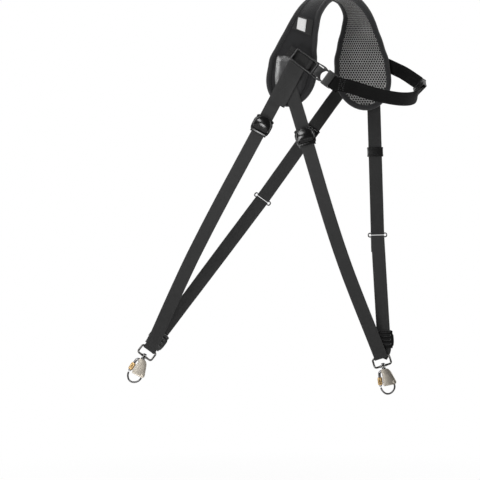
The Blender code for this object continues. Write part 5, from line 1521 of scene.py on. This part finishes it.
def build_tabs():
    """The tab sewn over the front strap ends, and the small one that holds the buckle."""
    mesh, frames, length = strap(FRONT_TAB, TAB_WIDTH, 4.0 * MM, -0.9 * MM)
    place_piece("front_tab_woven", mesh, [finish("webbing")], "front_tab")
    lines = []
    for sign in (-1, 1):
        lift = sign * THREAD_LEVEL
        lines += box_stitch(frames, length, 3.0 * MM, 20.0 * MM, 12.0 * MM, lift)[:4]
        lines += box_stitch(frames, length, 22.0 * MM, length[-1] - 3.0 * MM, 12.0 * MM, lift)
    mesh, frames, length = strap(UNDERARM_TAB, UNDERARM_TAB_WIDTH, 3.0 * MM)
    # Painted shade: the buckle's tab takes the darkened copy of the webbing
    place_piece("buckle_tab_woven", mesh, [finish("painted shade webbing")], "underarm_tab")
    for sign in (-1, 1):
        lines += box_stitch(frames, length, 3.0 * MM, 22.0 * MM, 6.5 * MM, sign * THREAD_LEVEL)
    sew("tab_stitches", lines, "front_tab")


def build_back_panel():
    """The panel sewn over the back strap ends, and its two rows of stitches."""
    outline = round_corners(pairs(BACK_TAB), 3.0 * MM)
    low, high = BACK_TAB_LEVEL * MM, (BACK_TAB_LEVEL + BACK_TAB_THICKNESS) * MM
    panel = plate("back_panel", [outline], low, high, 0.6 * MM)
    bm = bmesh.new()
    bm.from_mesh(panel)
    layer = bm.loops.layers.uv.verify()
    for face in bm.faces:
        for loop in face.loops:
            loop[layer].uv = (loop.vert.co.x, loop.vert.co.z)
    bm.to_mesh(panel)
    bm.free()
    place_piece("back_panel", panel, [finish("nylon")], "back_tab")
    middle = Vector((sum(a for a, b in outline), sum(b for a, b in outline))) / len(outline)
    lines = []
    for inset in (3.0 * MM, 6.0 * MM):
        loop = []
        for a, b in outline + outline[:1]:
            way = Vector((a, b)) - middle
            spot = middle + way * (1.0 - inset / way.length)
            loop.append(Vector((spot.x, high + 0.1 * MM, spot.y)))
        lines.append(loop)
    sew("back_panel_stitches", lines, "back_tab")


# Metal pieces

# Shapes turned on an axis: radius and level in millimetres
RING_BOSS = (
    (2.35, -1.7), (2.6, -1.95), (4.2, -1.95), (4.55, -1.6), (4.6, -0.9), (4.6, 0.9), (4.55, 1.6),
    (4.2, 1.95), (2.6, 1.95), (2.35, 1.7),
)
HINGE_PIN = (
    (0.2, -3.75), (1.3, -3.72), (2.1, -3.5), (2.3, -3.15), (2.3, -2.9), (1.3, -2.8), (1.3, 2.8),
    (2.3, 2.9), (2.3, 3.15), (2.1, 3.5), (1.3, 3.72), (0.2, 3.75),
)
SWIVEL_POST = (
    (0.3, -6.6), (2.9, -6.6), (3.5, -5.9), (3.7, -4.6), (3.65, -3.5), (3.4, -3.05), (2.2, -2.99),
    (1.8, -2.85), (1.8, 2.7), (3.0, 2.99), (3.6, 3.2), (3.7, 3.7), (3.45, 4.4), (2.7, 5.0),
    (1.5, 5.35), (0.3, 5.45),
)
BAIL_EYE = (
    (1.5, -1.2), (1.9, -1.65), (2.8, -1.65), (3.2, -1.1), (3.23, 0.0), (3.2, 1.1), (2.8, 1.65),
    (1.9, 1.65), (1.5, 1.2),
)
SLEEVE_COLLAR = ((2.85, -7.0), (4.0, -7.0), (4.3, -6.6), (4.35, -5.6), (4.1, -5.3), (4.5, -5.0))
RING_WIRE = 1.9 * MM
RING_HALF = 16.1 * MM
RING_CORNER = 4.0 * MM
LOOP_HALF = 17.05 * MM
LOOP_HALF_HEIGHT = 3.5 * MM
LOOP_CORNER = 2.8 * MM
LOOP_WIRE = 1.2 * MM
PLATE_HALF = 3.2 * MM
PLATE_CORNER = 2.2 * MM
NOTCH_HALF = 1.9 * MM
NOTCH_MARGIN = 4.6 * MM
ARM_RADIUS = 2.6 * MM
ARM_TIP_RADIUS = 2.2 * MM
BAIL_DROP = 15.5 * MM
BAIL_WIRE = 1.7 * MM
EYE_REACH = 2.4 * MM
SLEEVE_RIDGE = 0.18 * MM
SLEEVE_STATION = 0.54


def build_rings():
    """The polished swivel rings, each with the boss that takes its hook."""
    side, low = RING_HALF - RING_CORNER, RING_LOW + RING_CORNER
    necks = [Vector((x * MM, 0.0, RING_LOW)) for x in (4.0, 6.5, 9.0)]
    bends = quarters(((side, low, -90), (side, -RING_CORNER, 0), (-side, -RING_CORNER, 90),
                      (-side, low, 180)), RING_CORNER, 9)
    path = necks + bends + [Vector((-p.x, 0.0, RING_LOW)) for p in reversed(necks)]
    neck = [2.7 * MM, 2.2 * MM, RING_WIRE]
    radii = neck + [RING_WIRE] * len(bends) + neck[::-1]
    for name in ("left", "right"):
        body = tube("ring", path, radii, 24)
        boss = turned("boss", pairs(RING_BOSS), Z_AXIS * RING_LOW, Z_AXIS, 32, closed=True)
        place_piece("swivel_ring_" + name, united("ring", [body, boss]), [finish("nickel")],
                    "ring_" + name, seat="ring_" + name, smooth=40.0)


def plate_spot(corner, drop=PLATE_LENGTH, start=PLATE_TOP):
    """A corner of a hook table as a place in the hook's frame."""
    return Vector((HOOK_HALF * corner.across, 0.0, start - drop * corner.down))


def arm_line():
    """The straight stretch of the side arm."""
    return plate_spot(ARM_CORNERS[-2]), plate_spot(ARM_CORNERS[-1])


def hook_mesh():
    """The hook's cast plate with its hinge pin."""
    outline = [plate_spot(c) for c in PLATE_CORNERS]
    flat = round_corners([(p.x, p.z) for p in outline], PLATE_CORNER, 6)
    body = plate("plate", [flat], -PLATE_HALF, PLATE_HALF, 1.0 * MM)
    notch = box_outline(BAIL_PIN.x - NOTCH_MARGIN, BAIL_PIN.z - 12.0 * MM, 24.0 * MM,
                        BAIL_PIN.z + NOTCH_MARGIN)
    notch = plate("notch", [notch], -NOTCH_HALF, NOTCH_HALF, 0.05 * MM)
    body = cut_out(body, notch)
    pin = turned("pin", pairs(HINGE_PIN), BAIL_PIN, Y_AXIS, 24)
    return united("hook", [body, pin])


def post_mesh():
    """The dark post that the hook swivels on, with its domed head."""
    return turned("post", pairs(SWIVEL_POST), Vector(), Z_AXIS)


def arm_mesh():
    """The hook's round side arm, from inside the plate to the sleeve and beyond."""
    rows = refine([tuple(plate_spot(c)) for c in ARM_CORNERS], 1.2 * MM)
    arm = tube("arm", rows, [ARM_RADIUS] * (len(rows) - 1) + [ARM_TIP_RADIUS], 22)
    end = Vector(rows[-1]) + (arm_line()[1] - arm_line()[0]) * 0.02
    cap = refine([tuple(rows[-1]), tuple(end)], 1.0 * MM)
    tip = tube("tip", cap, [ARM_TIP_RADIUS] + [1.4 * MM] * (len(cap) - 1), 22)
    return united("arm", [arm, tip])


def bail_mesh():
    """The wire bail with its eye."""
    low = PLATE_TOP - PLATE_LENGTH
    path = [plate_spot(c, BAIL_DROP, low) for c in BAIL_CORNERS]
    start = BAIL_PIN + (path[0] - BAIL_PIN).normalized() * EYE_REACH
    rows = refine([tuple(p) for p in [start] + path], 1.1 * MM)
    wire = tube("wire", rows, [BAIL_WIRE] * (len(rows) - 2) + [1.6 * MM, 1.1 * MM], 20)
    eye = turned("eye", pairs(BAIL_EYE), BAIL_PIN, Y_AXIS, 32, closed=True)
    return united("bail", [wire, eye])


def sleeve_mesh():
    """The locking sleeve: a knurled tube with plain collars."""
    high, low = arm_line()
    axis = (low - high).normalized()
    detail = settings("detail")
    rows = list(SLEEVE_COLLAR)
    rows += [(4.5, -5.0 + k, 1.0) for k in range(1, 10)]
    rows += [(radius, -level) for radius, level in reversed(SLEEVE_COLLAR)]
    profile = [(row[0] * MM, row[1] * MM) + tuple(row[2:]) for row in rows]
    return turned("sleeve", profile, high.lerp(low, SLEEVE_STATION), axis, detail.knurls * 6,
                  closed=True, ridges=detail.knurls, ridge=SLEEVE_RIDGE)


def build_hooks():
    """Both snap hooks: plates, posts, side arms, wire bails and locking sleeves."""
    # Piece, its maker, its finish, its node, whether it stands for the node, and its sharp angle
    rows = (
        ("snap_hook_", hook_mesh, "gunmetal", "hook_", True, 32.0),
        ("swivel_post_", post_mesh, "steel", "hook_", False, 40.0),
        ("hook_arm_", arm_mesh, "arm steel", "hook_", False, 50.0),
        ("wire_bail_", bail_mesh, "steel", "bail_", True, 50.0),
        ("locking_sleeve_", sleeve_mesh, "brass", "sleeve_", True, 30.0),
    )
    for side in ("left", "right"):
        for name, maker, look, node, stands, smooth in rows:
            place_piece(name + side, maker(), [finish(look)], node + side, stands=stands,
                        smooth=smooth, seat="hook_" + side)


def build_loops():
    """The thin wire adjuster loops."""
    x, z = LOOP_HALF - LOOP_CORNER, LOOP_HALF_HEIGHT - LOOP_CORNER
    path = quarters(((x, z, 0), (-x, z, 90), (-x, -z, 180), (x, -z, 270)), LOOP_CORNER, 8)
    for side in ("left", "right"):
        place_piece("wire_loop_" + side, tube("loop", path, LOOP_WIRE, 18, closed=True),
                    [finish("steel")], "loop_" + side, seat="loop_" + side, smooth=60.0)


# Plastic pieces

# Half the width that webbing needs inside a hard piece, in millimetres
SLOT_HALF = 13.1
LIP = 3.0 * MM
LIP_PROUD = 0.35


def slider_mesh(height):
    """A slider: a flat moulded loop with a raised lip at each end."""
    window = round_corners(pairs(box_outline(-SLOT_HALF, -2.25, SLOT_HALF, 2.25)), 0.6 * MM)
    parts = []
    half = height / 2.0
    for low, high, grow in ((-half, half, 0.0), (-half, -half + LIP, LIP_PROUD),
                            (half - LIP, half, LIP_PROUD)):
        wide, deep = (14.7 + grow) * MM, (3.85 + grow) * MM
        outline = round_corners(box_outline(-wide, -deep, wide, deep), 1.6 * MM, 5)
        parts.append(plate("slider", [outline, window], low, high, 0.5 * MM, END_ON))
    return united("slider", parts)


def build_sliders():
    """The sliders on both back straps and on the under-arm strap."""
    rows = (("slider_left", 17.0), ("slider_right", 17.0), ("underarm_slider", 19.0))
    for node, height in rows:
        place_piece(node + "_moulded", slider_mesh(height * MM), [finish("plastic")], node, seat=node)


# The bumper's base, ribs and cheeks
BASE_SEAT = 1.05 * MM
BASE_THICKNESS = 2.2 * MM
BASE_CORNER = 5.9 * MM
RIB_SHARES = (-0.52, -0.06, 0.40, 0.86)
RIB_HALF = 2.2 * MM
RIB_PROUD = 2.0 * MM
CHEEK_INSIDE = SLOT_HALF * MM
CHEEK_THICKNESS = 2.4 * MM
CHEEK_REACH = 2.2 * MM
# The bridge's section: out from the base and up from its lower end, in millimetres
BRIDGE = ((0.0, 0.6), (-2.2, 0.6), (-3.4, 3.4), (-3.8, 6.2), (-3.1, 7.5), (0.0, 8.4))


def bumper_frame_mesh():
    """The bumper's ribbed base, cheeks and bridge."""
    half_w, half_l, corner = BUMPER_HALF, BUMPER_HALF_LENGTH, BASE_CORNER
    right = ((half_w - corner, -half_l), (half_w - 1.2 * MM, -half_l * 0.72),
             (half_w, -half_l * 0.30), (half_w, half_l * 0.42), (half_w - 2.2 * MM, half_l * 0.66),
             (half_w - 1.0 * MM, half_l * 0.84), (half_w - corner * 0.7, half_l))
    outline = round_corners(list(right) + [(-a, b) for a, b in reversed(right)], 2.0 * MM)
    inner, outer = CHEEK_INSIDE, CHEEK_INSIDE + CHEEK_THICKNESS
    core, top = BASE_SEAT + BASE_THICKNESS / 2, BASE_SEAT + BASE_THICKNESS
    parts = [plate("base", [outline], BASE_SEAT, top, 0.7 * MM)]
    for share in RIB_SHARES:
        level = share * half_l
        rib = round_corners(box_outline(-inner, level - RIB_HALF, inner, level + RIB_HALF), 2.0 * MM)
        parts.append(plate("rib", [rib], core, top + RIB_PROUD, 1.5 * MM))
    axis_y, axis_z = CAM_AXIS.y, CAM_AXIS.z
    low, length = -BASE_SEAT, 2.0 * half_l
    profile = [(core, axis_z - 0.20 * length), (low, axis_z - 0.15 * length),
               (low, axis_z - 2.5 * MM)]
    for degrees in (-55, -90, -125, -150, -180):
        angle = math.radians(degrees)
        profile.append((axis_y + CHEEK_REACH * math.cos(angle),
                        axis_z + CHEEK_REACH * math.sin(angle)))
    profile += [(axis_y - CHEEK_REACH, axis_z + 0.28 * length), (low, axis_z + 0.40 * length),
                (core, axis_z + 0.46 * length)]
    cheek = round_corners(profile, 0.8 * MM)
    post = box_outline(low - 2.3 * MM, -half_l + 0.3 * MM, core, -half_l + 5.0 * MM)
    post = round_corners(post, 0.7 * MM)
    for sign in (-1, 1):
        near, far = sorted((sign * inner, sign * outer))
        parts.append(plate("cheek", [cheek], near, far, 0.4 * MM, SIDE_ON))
        parts.append(plate("post", [post], near, far, 0.4 * MM, SIDE_ON))
    bridge = round_corners([(low + out * MM, -half_l + up * MM) for out, up in BRIDGE], 1.2 * MM)
    parts.append(plate("bridge", [bridge], -inner - CHEEK_THICKNESS + 0.2 * MM,
                       inner + CHEEK_THICKNESS - 0.2 * MM, 0.9 * MM, SIDE_ON))
    return united("bumper", parts)


# The cam lever's dome, barrel and the pin through it
LEVER_LENGTH = 22.0 * MM
LEVER_HALF = 16.5 * MM
LEVER_EDGE = 1.4 * MM
LEVER_BULGE = 4.8 * MM
BARREL_HALF = 12.7 * MM
BARREL_RADIUS = 2.3 * MM
STUB_HALF = 15.3 * MM
STUB_RADIUS = 1.3 * MM


def lever_mesh():
    """The cam lever: a glossy domed cover on its barrel."""
    axis_y, axis_z = CAM_AXIS.y, CAM_AXIS.z
    under, start = axis_y - 2.5 * MM, axis_z - 2.3 * MM
    rows, columns, flat = 36, 32, 8
    rings = []
    for r in range(rows + 1):
        share = r / rows
        level = start + LEVER_LENGTH * share
        lip = min(1.0, math.sqrt(max(0.0, 1.0 - (1.0 - min(1.0, share / 0.04)) ** 2)) * 0.6 + 0.4)
        end = math.sqrt(max(0.0, 1.0 - max(0.0, (share - 0.35) / 0.65) ** 2))
        wide = LEVER_HALF * max(end, 0.30)
        rise = LEVER_EDGE + LEVER_BULGE * math.sin(math.pi * min(1.0, 0.12 + 0.80 * share)) * end
        above = max(rise, LEVER_EDGE) - LEVER_EDGE
        ring = [Vector((wide * (-1.0 + 2.0 * k / flat), under, level)) for k in range(flat + 1)]
        for k in range(columns + 1):
            a = math.cos(math.pi * k / columns)
            side = math.sqrt(max(0.0, 1.0 - a * a))
            height = (LEVER_EDGE * min(1.0, side * 3.0) + above * side**1.4) * lip
            ring.append(Vector((wide * a, under - height - 0.02 * MM, level)))
        rings.append(ring)
    dome = loft("dome", rings)
    bevel = 0.3 * MM
    half = ((BARREL_RADIUS, BARREL_HALF - bevel), (BARREL_RADIUS - bevel, BARREL_HALF),
            (0.2 * MM, BARREL_HALF))
    profile = [(radius, -level) for radius, level in reversed(half)] + list(half)
    barrel = turned("barrel", profile, CAM_AXIS, X_AXIS, 24)
    web = box_outline(under - 0.5 * MM, axis_z - 1.4 * MM, axis_y, axis_z + 2.0 * MM)
    web = plate("web", [web], -BARREL_HALF, BARREL_HALF, 0.3 * MM, SIDE_ON)
    reach = X_AXIS * STUB_HALF
    stub = tube("stub", [CAM_AXIS - reach, CAM_AXIS + reach], STUB_RADIUS, 16)
    return united("lever", [dome, barrel, web, stub])


def build_bumpers():
    """The four cam-lock bumpers, each a frame and its lever."""
    for level in ("upper", "lower"):
        for side in ("left", "right"):
            name = "bumper_" + level + "_" + side
            place_piece(name + "_moulded", bumper_frame_mesh(), [finish("plastic")],
                        name + "_frame", seat=name)
            place_piece(name + "_dome", lever_mesh(), [finish("plastic")], name + "_lever",
                        seat=name, smooth=45.0)


# The buckle's tongue and pocket in millimetres, along from the ladder's end and across
LADDER_HALF = 12.75
LADDER_RAIL = 2.8
LADDER_END = 50.0
PRONG_START, PRONG_END = 62.0, 82.0
PRONG_HALF = 12.6
POCKET_START, POCKET_END = 71.5, 92.5
POCKET_HALF = 14.5
POCKET_HALF_THICKNESS = 5.0
POCKET_ROOM = 2.6
POCKET_WALL_HALF = 2.8


def tongue_mesh():
    """The buckle's ladder with its raised rim, and its two prongs."""
    half, bow, waist, tip = LADDER_HALF, POCKET_HALF, PRONG_START, PRONG_END
    upper = ((1.2, half * 0.86), (3.0, half * 0.94), (LADDER_END, half * 1.04),
             (waist - 5.0, bow * 0.98), (waist, bow), (waist + 4.0, bow * 0.97),
             (70.5, PRONG_HALF), (tip - 3.0, PRONG_HALF), (tip, PRONG_HALF - 1.5),
             (tip - 1.0, PRONG_HALF - 3.0), (71.5, PRONG_HALF - 2.6), (waist + 6.0, half * 0.70),
             (waist + 4.2, half * 0.50), (waist + 2.5, half * 0.26), (waist + 1.8, 0.0))
    outline = round_corners(pairs(list(upper) + [(a, -b) for a, b in reversed(upper[:-1])]), 1.0 * MM)
    inner = half - LADDER_RAIL
    windows = [box_outline(2.8, -inner, 35.0, inner), box_outline(38.2, -inner, 47.0, inner)]
    windows += [box_outline(51.0, s * 10.65 - 0.85, waist, s * 10.65 + 0.85) for s in (-1, 1)]
    holes = [round_corners(pairs(window), 1.2 * MM) for window in windows]
    body = plate("prongs", [outline] + holes, -2.3 * MM, 2.3 * MM, 0.6 * MM)
    rim = [(a, b) for a, b in upper if a <= LADDER_END] + [(LADDER_END, inner * 0.9)]
    rim = round_corners(pairs(rim + [(a, -b) for a, b in reversed(rim)]), 0.8 * MM)
    hollow = round_corners(pairs(box_outline(4.2, -inner, 47.0, inner)), 1.6 * MM)
    raised = plate("rim", [rim, hollow], -6.0 * MM, -2.0 * MM, 1.1 * MM)
    under = plate("under", [pairs(box_outline(-1.0, -inner, 5.0, inner))], -4.5 * MM, -1.0 * MM, 0.0)
    return united("tongue", [body, cut_out(raised, under)])


def pocket_mesh():
    """The buckle's ribbed pocket, and the bar that its webbing runs round."""
    start, end, half_w, half_t = POCKET_START, POCKET_END, POCKET_HALF, POCKET_HALF_THICKNESS
    slot_start = end - 8.0
    upper = ((start + 0.6, half_w * 0.94), (start + 2.0, half_w), (slot_start + 1.9, half_w))
    shell = round_corners(pairs(list(upper) + [(a, -b) for a, b in reversed(upper)]), 1.2 * MM)
    wall = POCKET_WALL_HALF * MM
    parts = []
    for sign in (-1, 1):
        low, high = sorted((sign * POCKET_ROOM * MM, sign * (half_t - 0.5) * MM))
        parts.append(plate("shell", [shell], low, high, 0.45 * MM))
        for k in range(5):
            level = start + 3.0 + k * 2.6
            rib = box_outline(level - 0.7, -half_w + 1.6, level + 0.7, half_w - 1.6)
            low, high = sorted((sign * (half_t - 1.0) * MM, sign * half_t * MM))
            parts.append(plate("rib", [round_corners(pairs(rib), 0.7 * MM)], low, high, 0.35 * MM))
        low, high = sorted((sign * (half_w - 1.6), sign * half_w))
        rail = pairs(box_outline(start + 0.2, low, start + 3.0, high))
        parts.append(plate("rail", [rail], -wall, wall, 0.2 * MM))
    near = pairs(box_outline(slot_start - 1.5, -half_w, slot_start, half_w))
    parts.append(plate("stop", [near], -wall, wall, 0.2 * MM))
    upper = ((slot_start - 1.0, half_w), (end - 3.0, half_w), (end, half_w * 0.9))
    outline = round_corners(pairs(list(upper) + [(a, -b) for a, b in reversed(upper)]), 1.2 * MM)
    window = box_outline(slot_start, -SLOT_HALF, end - 4.0, SLOT_HALF)
    window = round_corners(pairs(window), 0.8 * MM)
    parts.append(plate("bar", [outline, window], -2.0 * MM, 2.0 * MM, 0.8 * MM))
    return united("pocket", parts)


def build_buckle():
    """The fastened buckle: ladder and prongs, and the ribbed pocket that holds them."""
    for name, maker, node in (("buckle_tongue", tongue_mesh, "buckle_prongs"),
                              ("buckle_pocket", pocket_mesh, "buckle_receptacle")):
        # Painted light: the buckle takes the lightened copy of the plastic
        place_piece(name, maker(), [finish("plastic with painted light")], node, seat="buckle")


# Stage

# The floor comes this far forward of the piece, and glows from the least share to all at its reach.
# The world is as bright as the sides until one share of the way to the front, and dim from another
WHITE = (1.0, 1.0, 1.0, 1.0)
FLOOR_COLOUR = (0.86, 0.86, 0.86, 1.0)
FLOOR_FRONT = 0.35
GLOW_LEAST, GLOW_REACH = 0.70, 0.70
SIDE_GLOW, FRONT_GLOW = 1.10, 0.02
SIDE_UNTIL, FRONT_FROM = 0.10, 0.55
SENSOR_WIDTH = 36.0
Light = namedtuple("Light", "name x y z size power")


def build_floor(centre, level, radius):
    """A pale disc that glows more the further it lies from the piece."""
    bm = bmesh.new()
    bmesh.ops.create_circle(bm, cap_ends=True, segments=96, radius=radius)
    mesh = bpy.data.meshes.new("floor")
    bm.to_mesh(mesh)
    bm.free()
    mesh.transform(Matrix.Translation((centre.x, centre.y + radius - FLOOR_FRONT, level)))
    material, tree, shader, place = start_material("Sling floor")
    shader.inputs["Base Color"].default_value = FLOOR_COLOUR
    shader.inputs["Roughness"].default_value = 0.9
    away = add(tree, "ShaderNodeVectorMath", {0: place, 1: (centre.x, centre.y, level)},
               operation="DISTANCE")
    share = add(tree, "ShaderNodeMapRange", {0: away.outputs["Value"], 1: 0.0, 2: GLOW_REACH,
                3: GLOW_LEAST})
    glow = add(tree, "ShaderNodeEmission", {"Color": WHITE, "Strength": 1.0})
    both = add(tree, "ShaderNodeMixShader", {0: share.outputs[0], 1: shader.outputs[0],
               2: glow.outputs[0]})
    tree.links.new(both.outputs[0], tree.nodes["Material Output"].inputs["Surface"])
    mesh.materials.append(material)
    floor = linked("floor", mesh)
    floor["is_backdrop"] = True


def build_world():
    """White to the camera; to the piece it is bright at the sides and dark in front."""
    world = bpy.data.worlds.new("Sling world")
    world.use_nodes = True
    tree = world.node_tree
    seen = tree.nodes["Background"]
    seen.inputs["Color"].default_value = WHITE
    seen.inputs["Strength"].default_value = 1.0
    way = add(tree, "ShaderNodeTexCoord").outputs["Generated"]
    front = calc(tree, "MULTIPLY", add(tree, "ShaderNodeSeparateXYZ", {0: way}).outputs[1], -1.0)
    dim = add(tree, "ShaderNodeMapRange", {0: front, 1: SIDE_UNTIL, 2: FRONT_FROM, 3: SIDE_GLOW,
              4: FRONT_GLOW})
    shine = add(tree, "ShaderNodeBackground", {"Color": WHITE, "Strength": dim.outputs[0]})
    ray = add(tree, "ShaderNodeLightPath")
    both = add(tree, "ShaderNodeMixShader", {0: ray.outputs["Is Camera Ray"], 1: shine.outputs[0],
               2: seen.outputs[0]})
    tree.links.new(both.outputs[0], tree.nodes["World Output"].inputs["Surface"])
    bpy.context.scene.world = world


def build_stage():
    """A pale floor, soft lights and the camera at the photograph's angle."""
    stage = settings("stage")
    low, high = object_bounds()
    centre = (low + high) / 2.0
    build_floor(centre, low.z - stage.floor_drop, stage.floor_radius)
    build_world()
    lights = (
        Light("key", -1.3, -2.9, 1.1, 1.7, stage.key_power),
        Light("fill", 3.0, -1.2, 0.9, 1.1, stage.fill_power),
        Light("top", 0.3, 1.2, 2.4, 0.9, stage.top_power),
        Light("low", -0.75, -2.2, -1.35, 1.1, stage.low_power),
    )
    for light in lights:
        lamp = bpy.data.lights.new("Sling " + light.name, "AREA")
        lamp.shape, lamp.size, lamp.energy = "DISK", light.size, light.power
        obj = linked("Sling " + light.name, lamp)
        spot = Vector((light.x, light.y, light.z))
        obj.location = centre + spot
        obj.rotation_euler = (-spot).to_track_quat("-Z", "Y").to_euler()

    camera = bpy.data.cameras.new("Sling camera")
    camera.lens, camera.sensor_width = stage.lens, SENSOR_WIDTH
    camera.clip_start, camera.clip_end = 0.1, 60.0
    obj = linked("Sling camera", camera)
    obj.location = stage.camera_place
    obj.rotation_euler = (math.pi / 2.0, 0.0, 0.0)
    bpy.context.scene.camera = obj
    bpy.context.scene.view_settings.view_transform = "Standard"


# Operators and panel

def made_by(*makers):
    """Call what makes an operator's pieces, and raise an error if nothing new came of it."""
    for maker in makers:
        before = {obj.name for obj in bpy.context.scene.objects}
        maker()
        if all(obj.name in before for obj in bpy.context.scene.objects):
            raise RuntimeError(maker.__name__ + " added nothing to the scene")
    return {"FINISHED"}


class SLING_OT_pad(bpy.types.Operator):
    """Make the puffed nylon pad"""
    bl_idname = "sling.pad"
    bl_label = "Pad"

    def execute(self, context):
        return made_by(build_pad_body)


class SLING_OT_lining(bpy.types.Operator):
    """Make the open air-mesh lining"""
    bl_idname = "sling.lining"
    bl_label = "Lining"

    def execute(self, context):
        return made_by(build_lining)


class SLING_OT_binding(bpy.types.Operator):
    """Make the edge tape and its stitches"""
    bl_idname = "sling.binding"
    bl_label = "Binding"

    def execute(self, context):
        return made_by(build_binding)


class SLING_OT_skins(bpy.types.Operator):
    """Make the band, label and vinyl patch"""
    bl_idname = "sling.skins"
    bl_label = "Front patches"

    def execute(self, context):
        return made_by(build_front_skins)


class SLING_OT_webbing(bpy.types.Operator):
    """Make every strap and its sewn folds"""
    bl_idname = "sling.webbing"
    bl_label = "Webbing"

    def execute(self, context):
        return made_by(build_webbing)


class SLING_OT_tabs(bpy.types.Operator):
    """Make the tabs over the strap ends"""
    bl_idname = "sling.tabs"
    bl_label = "Tabs"

    def execute(self, context):
        return made_by(build_tabs, build_back_panel)


class SLING_OT_rings(bpy.types.Operator):
    """Make both polished rings"""
    bl_idname = "sling.rings"
    bl_label = "Swivel rings"

    def execute(self, context):
        return made_by(build_rings)


class SLING_OT_hooks(bpy.types.Operator):
    """Make the hooks, bails and sleeves"""
    bl_idname = "sling.hooks"
    bl_label = "Snap hooks"

    def execute(self, context):
        return made_by(build_hooks)


class SLING_OT_loops(bpy.types.Operator):
    """Make both adjuster loops"""
    bl_idname = "sling.loops"
    bl_label = "Wire loops"

    def execute(self, context):
        return made_by(build_loops)


class SLING_OT_sliders(bpy.types.Operator):
    """Make the moulded sliders"""
    bl_idname = "sling.sliders"
    bl_label = "Sliders"

    def execute(self, context):
        return made_by(build_sliders)


class SLING_OT_bumpers(bpy.types.Operator):
    """Make the four cam-lock bumpers"""
    bl_idname = "sling.bumpers"
    bl_label = "Bumpers"

    def execute(self, context):
        return made_by(build_bumpers)


class SLING_OT_buckle(bpy.types.Operator):
    """Make the side-release buckle"""
    bl_idname = "sling.buckle"
    bl_label = "Buckle"

    def execute(self, context):
        return made_by(build_buckle)


class SLING_OT_stage(bpy.types.Operator):
    """Make the floor, lights and camera"""
    bl_idname = "sling.stage"
    bl_label = "Stage"

    def execute(self, context):
        return made_by(build_stage)


OPERATORS = (
    SLING_OT_pad, SLING_OT_lining, SLING_OT_binding, SLING_OT_skins, SLING_OT_webbing,
    SLING_OT_tabs, SLING_OT_rings, SLING_OT_hooks, SLING_OT_loops, SLING_OT_sliders,
    SLING_OT_bumpers, SLING_OT_buckle, SLING_OT_stage,
)


class SLING_PT_panel(bpy.types.Panel):
    """The sling's steps and settings."""
    bl_label = "Camera sling"
    bl_idname = "SLING_PT_panel"
    bl_space_type = "VIEW_3D"
    bl_region_type = "UI"
    bl_category = "Sling"

    def draw(self, context):
        for group in ("cloth", "hard", "detail", "stage"):
            box = self.layout.box()
            chosen = settings(group)
            for name in chosen.__annotations__:
                box.prop(chosen, name)
        for item in OPERATORS:
            self.layout.operator(item.bl_idname)


GROUPS = {"cloth": SlingClothSettings, "hard": SlingHardSettings, "detail": SlingDetailSettings,
          "stage": SlingStageSettings}
CLASSES = tuple(GROUPS.values()) + OPERATORS + (SLING_PT_panel,)


def register():
    """Register every class, and give each scene its settings."""
    for item in CLASSES:
        bpy.utils.register_class(item)
    for name, group in GROUPS.items():
        setattr(bpy.types.Scene, "sling_" + name, PointerProperty(type=group))


def unregister():
    """Take back what register() did."""
    for name in GROUPS:
        delattr(bpy.types.Scene, "sling_" + name)
    for item in reversed(CLASSES):
        bpy.utils.unregister_class(item)


def main():
    """Make every piece and the stage."""
    register()
    for item in OPERATORS:
        group, name = item.bl_idname.split(".")
        getattr(getattr(bpy.ops, group), name)()


if __name__ == "__main__":
    main()
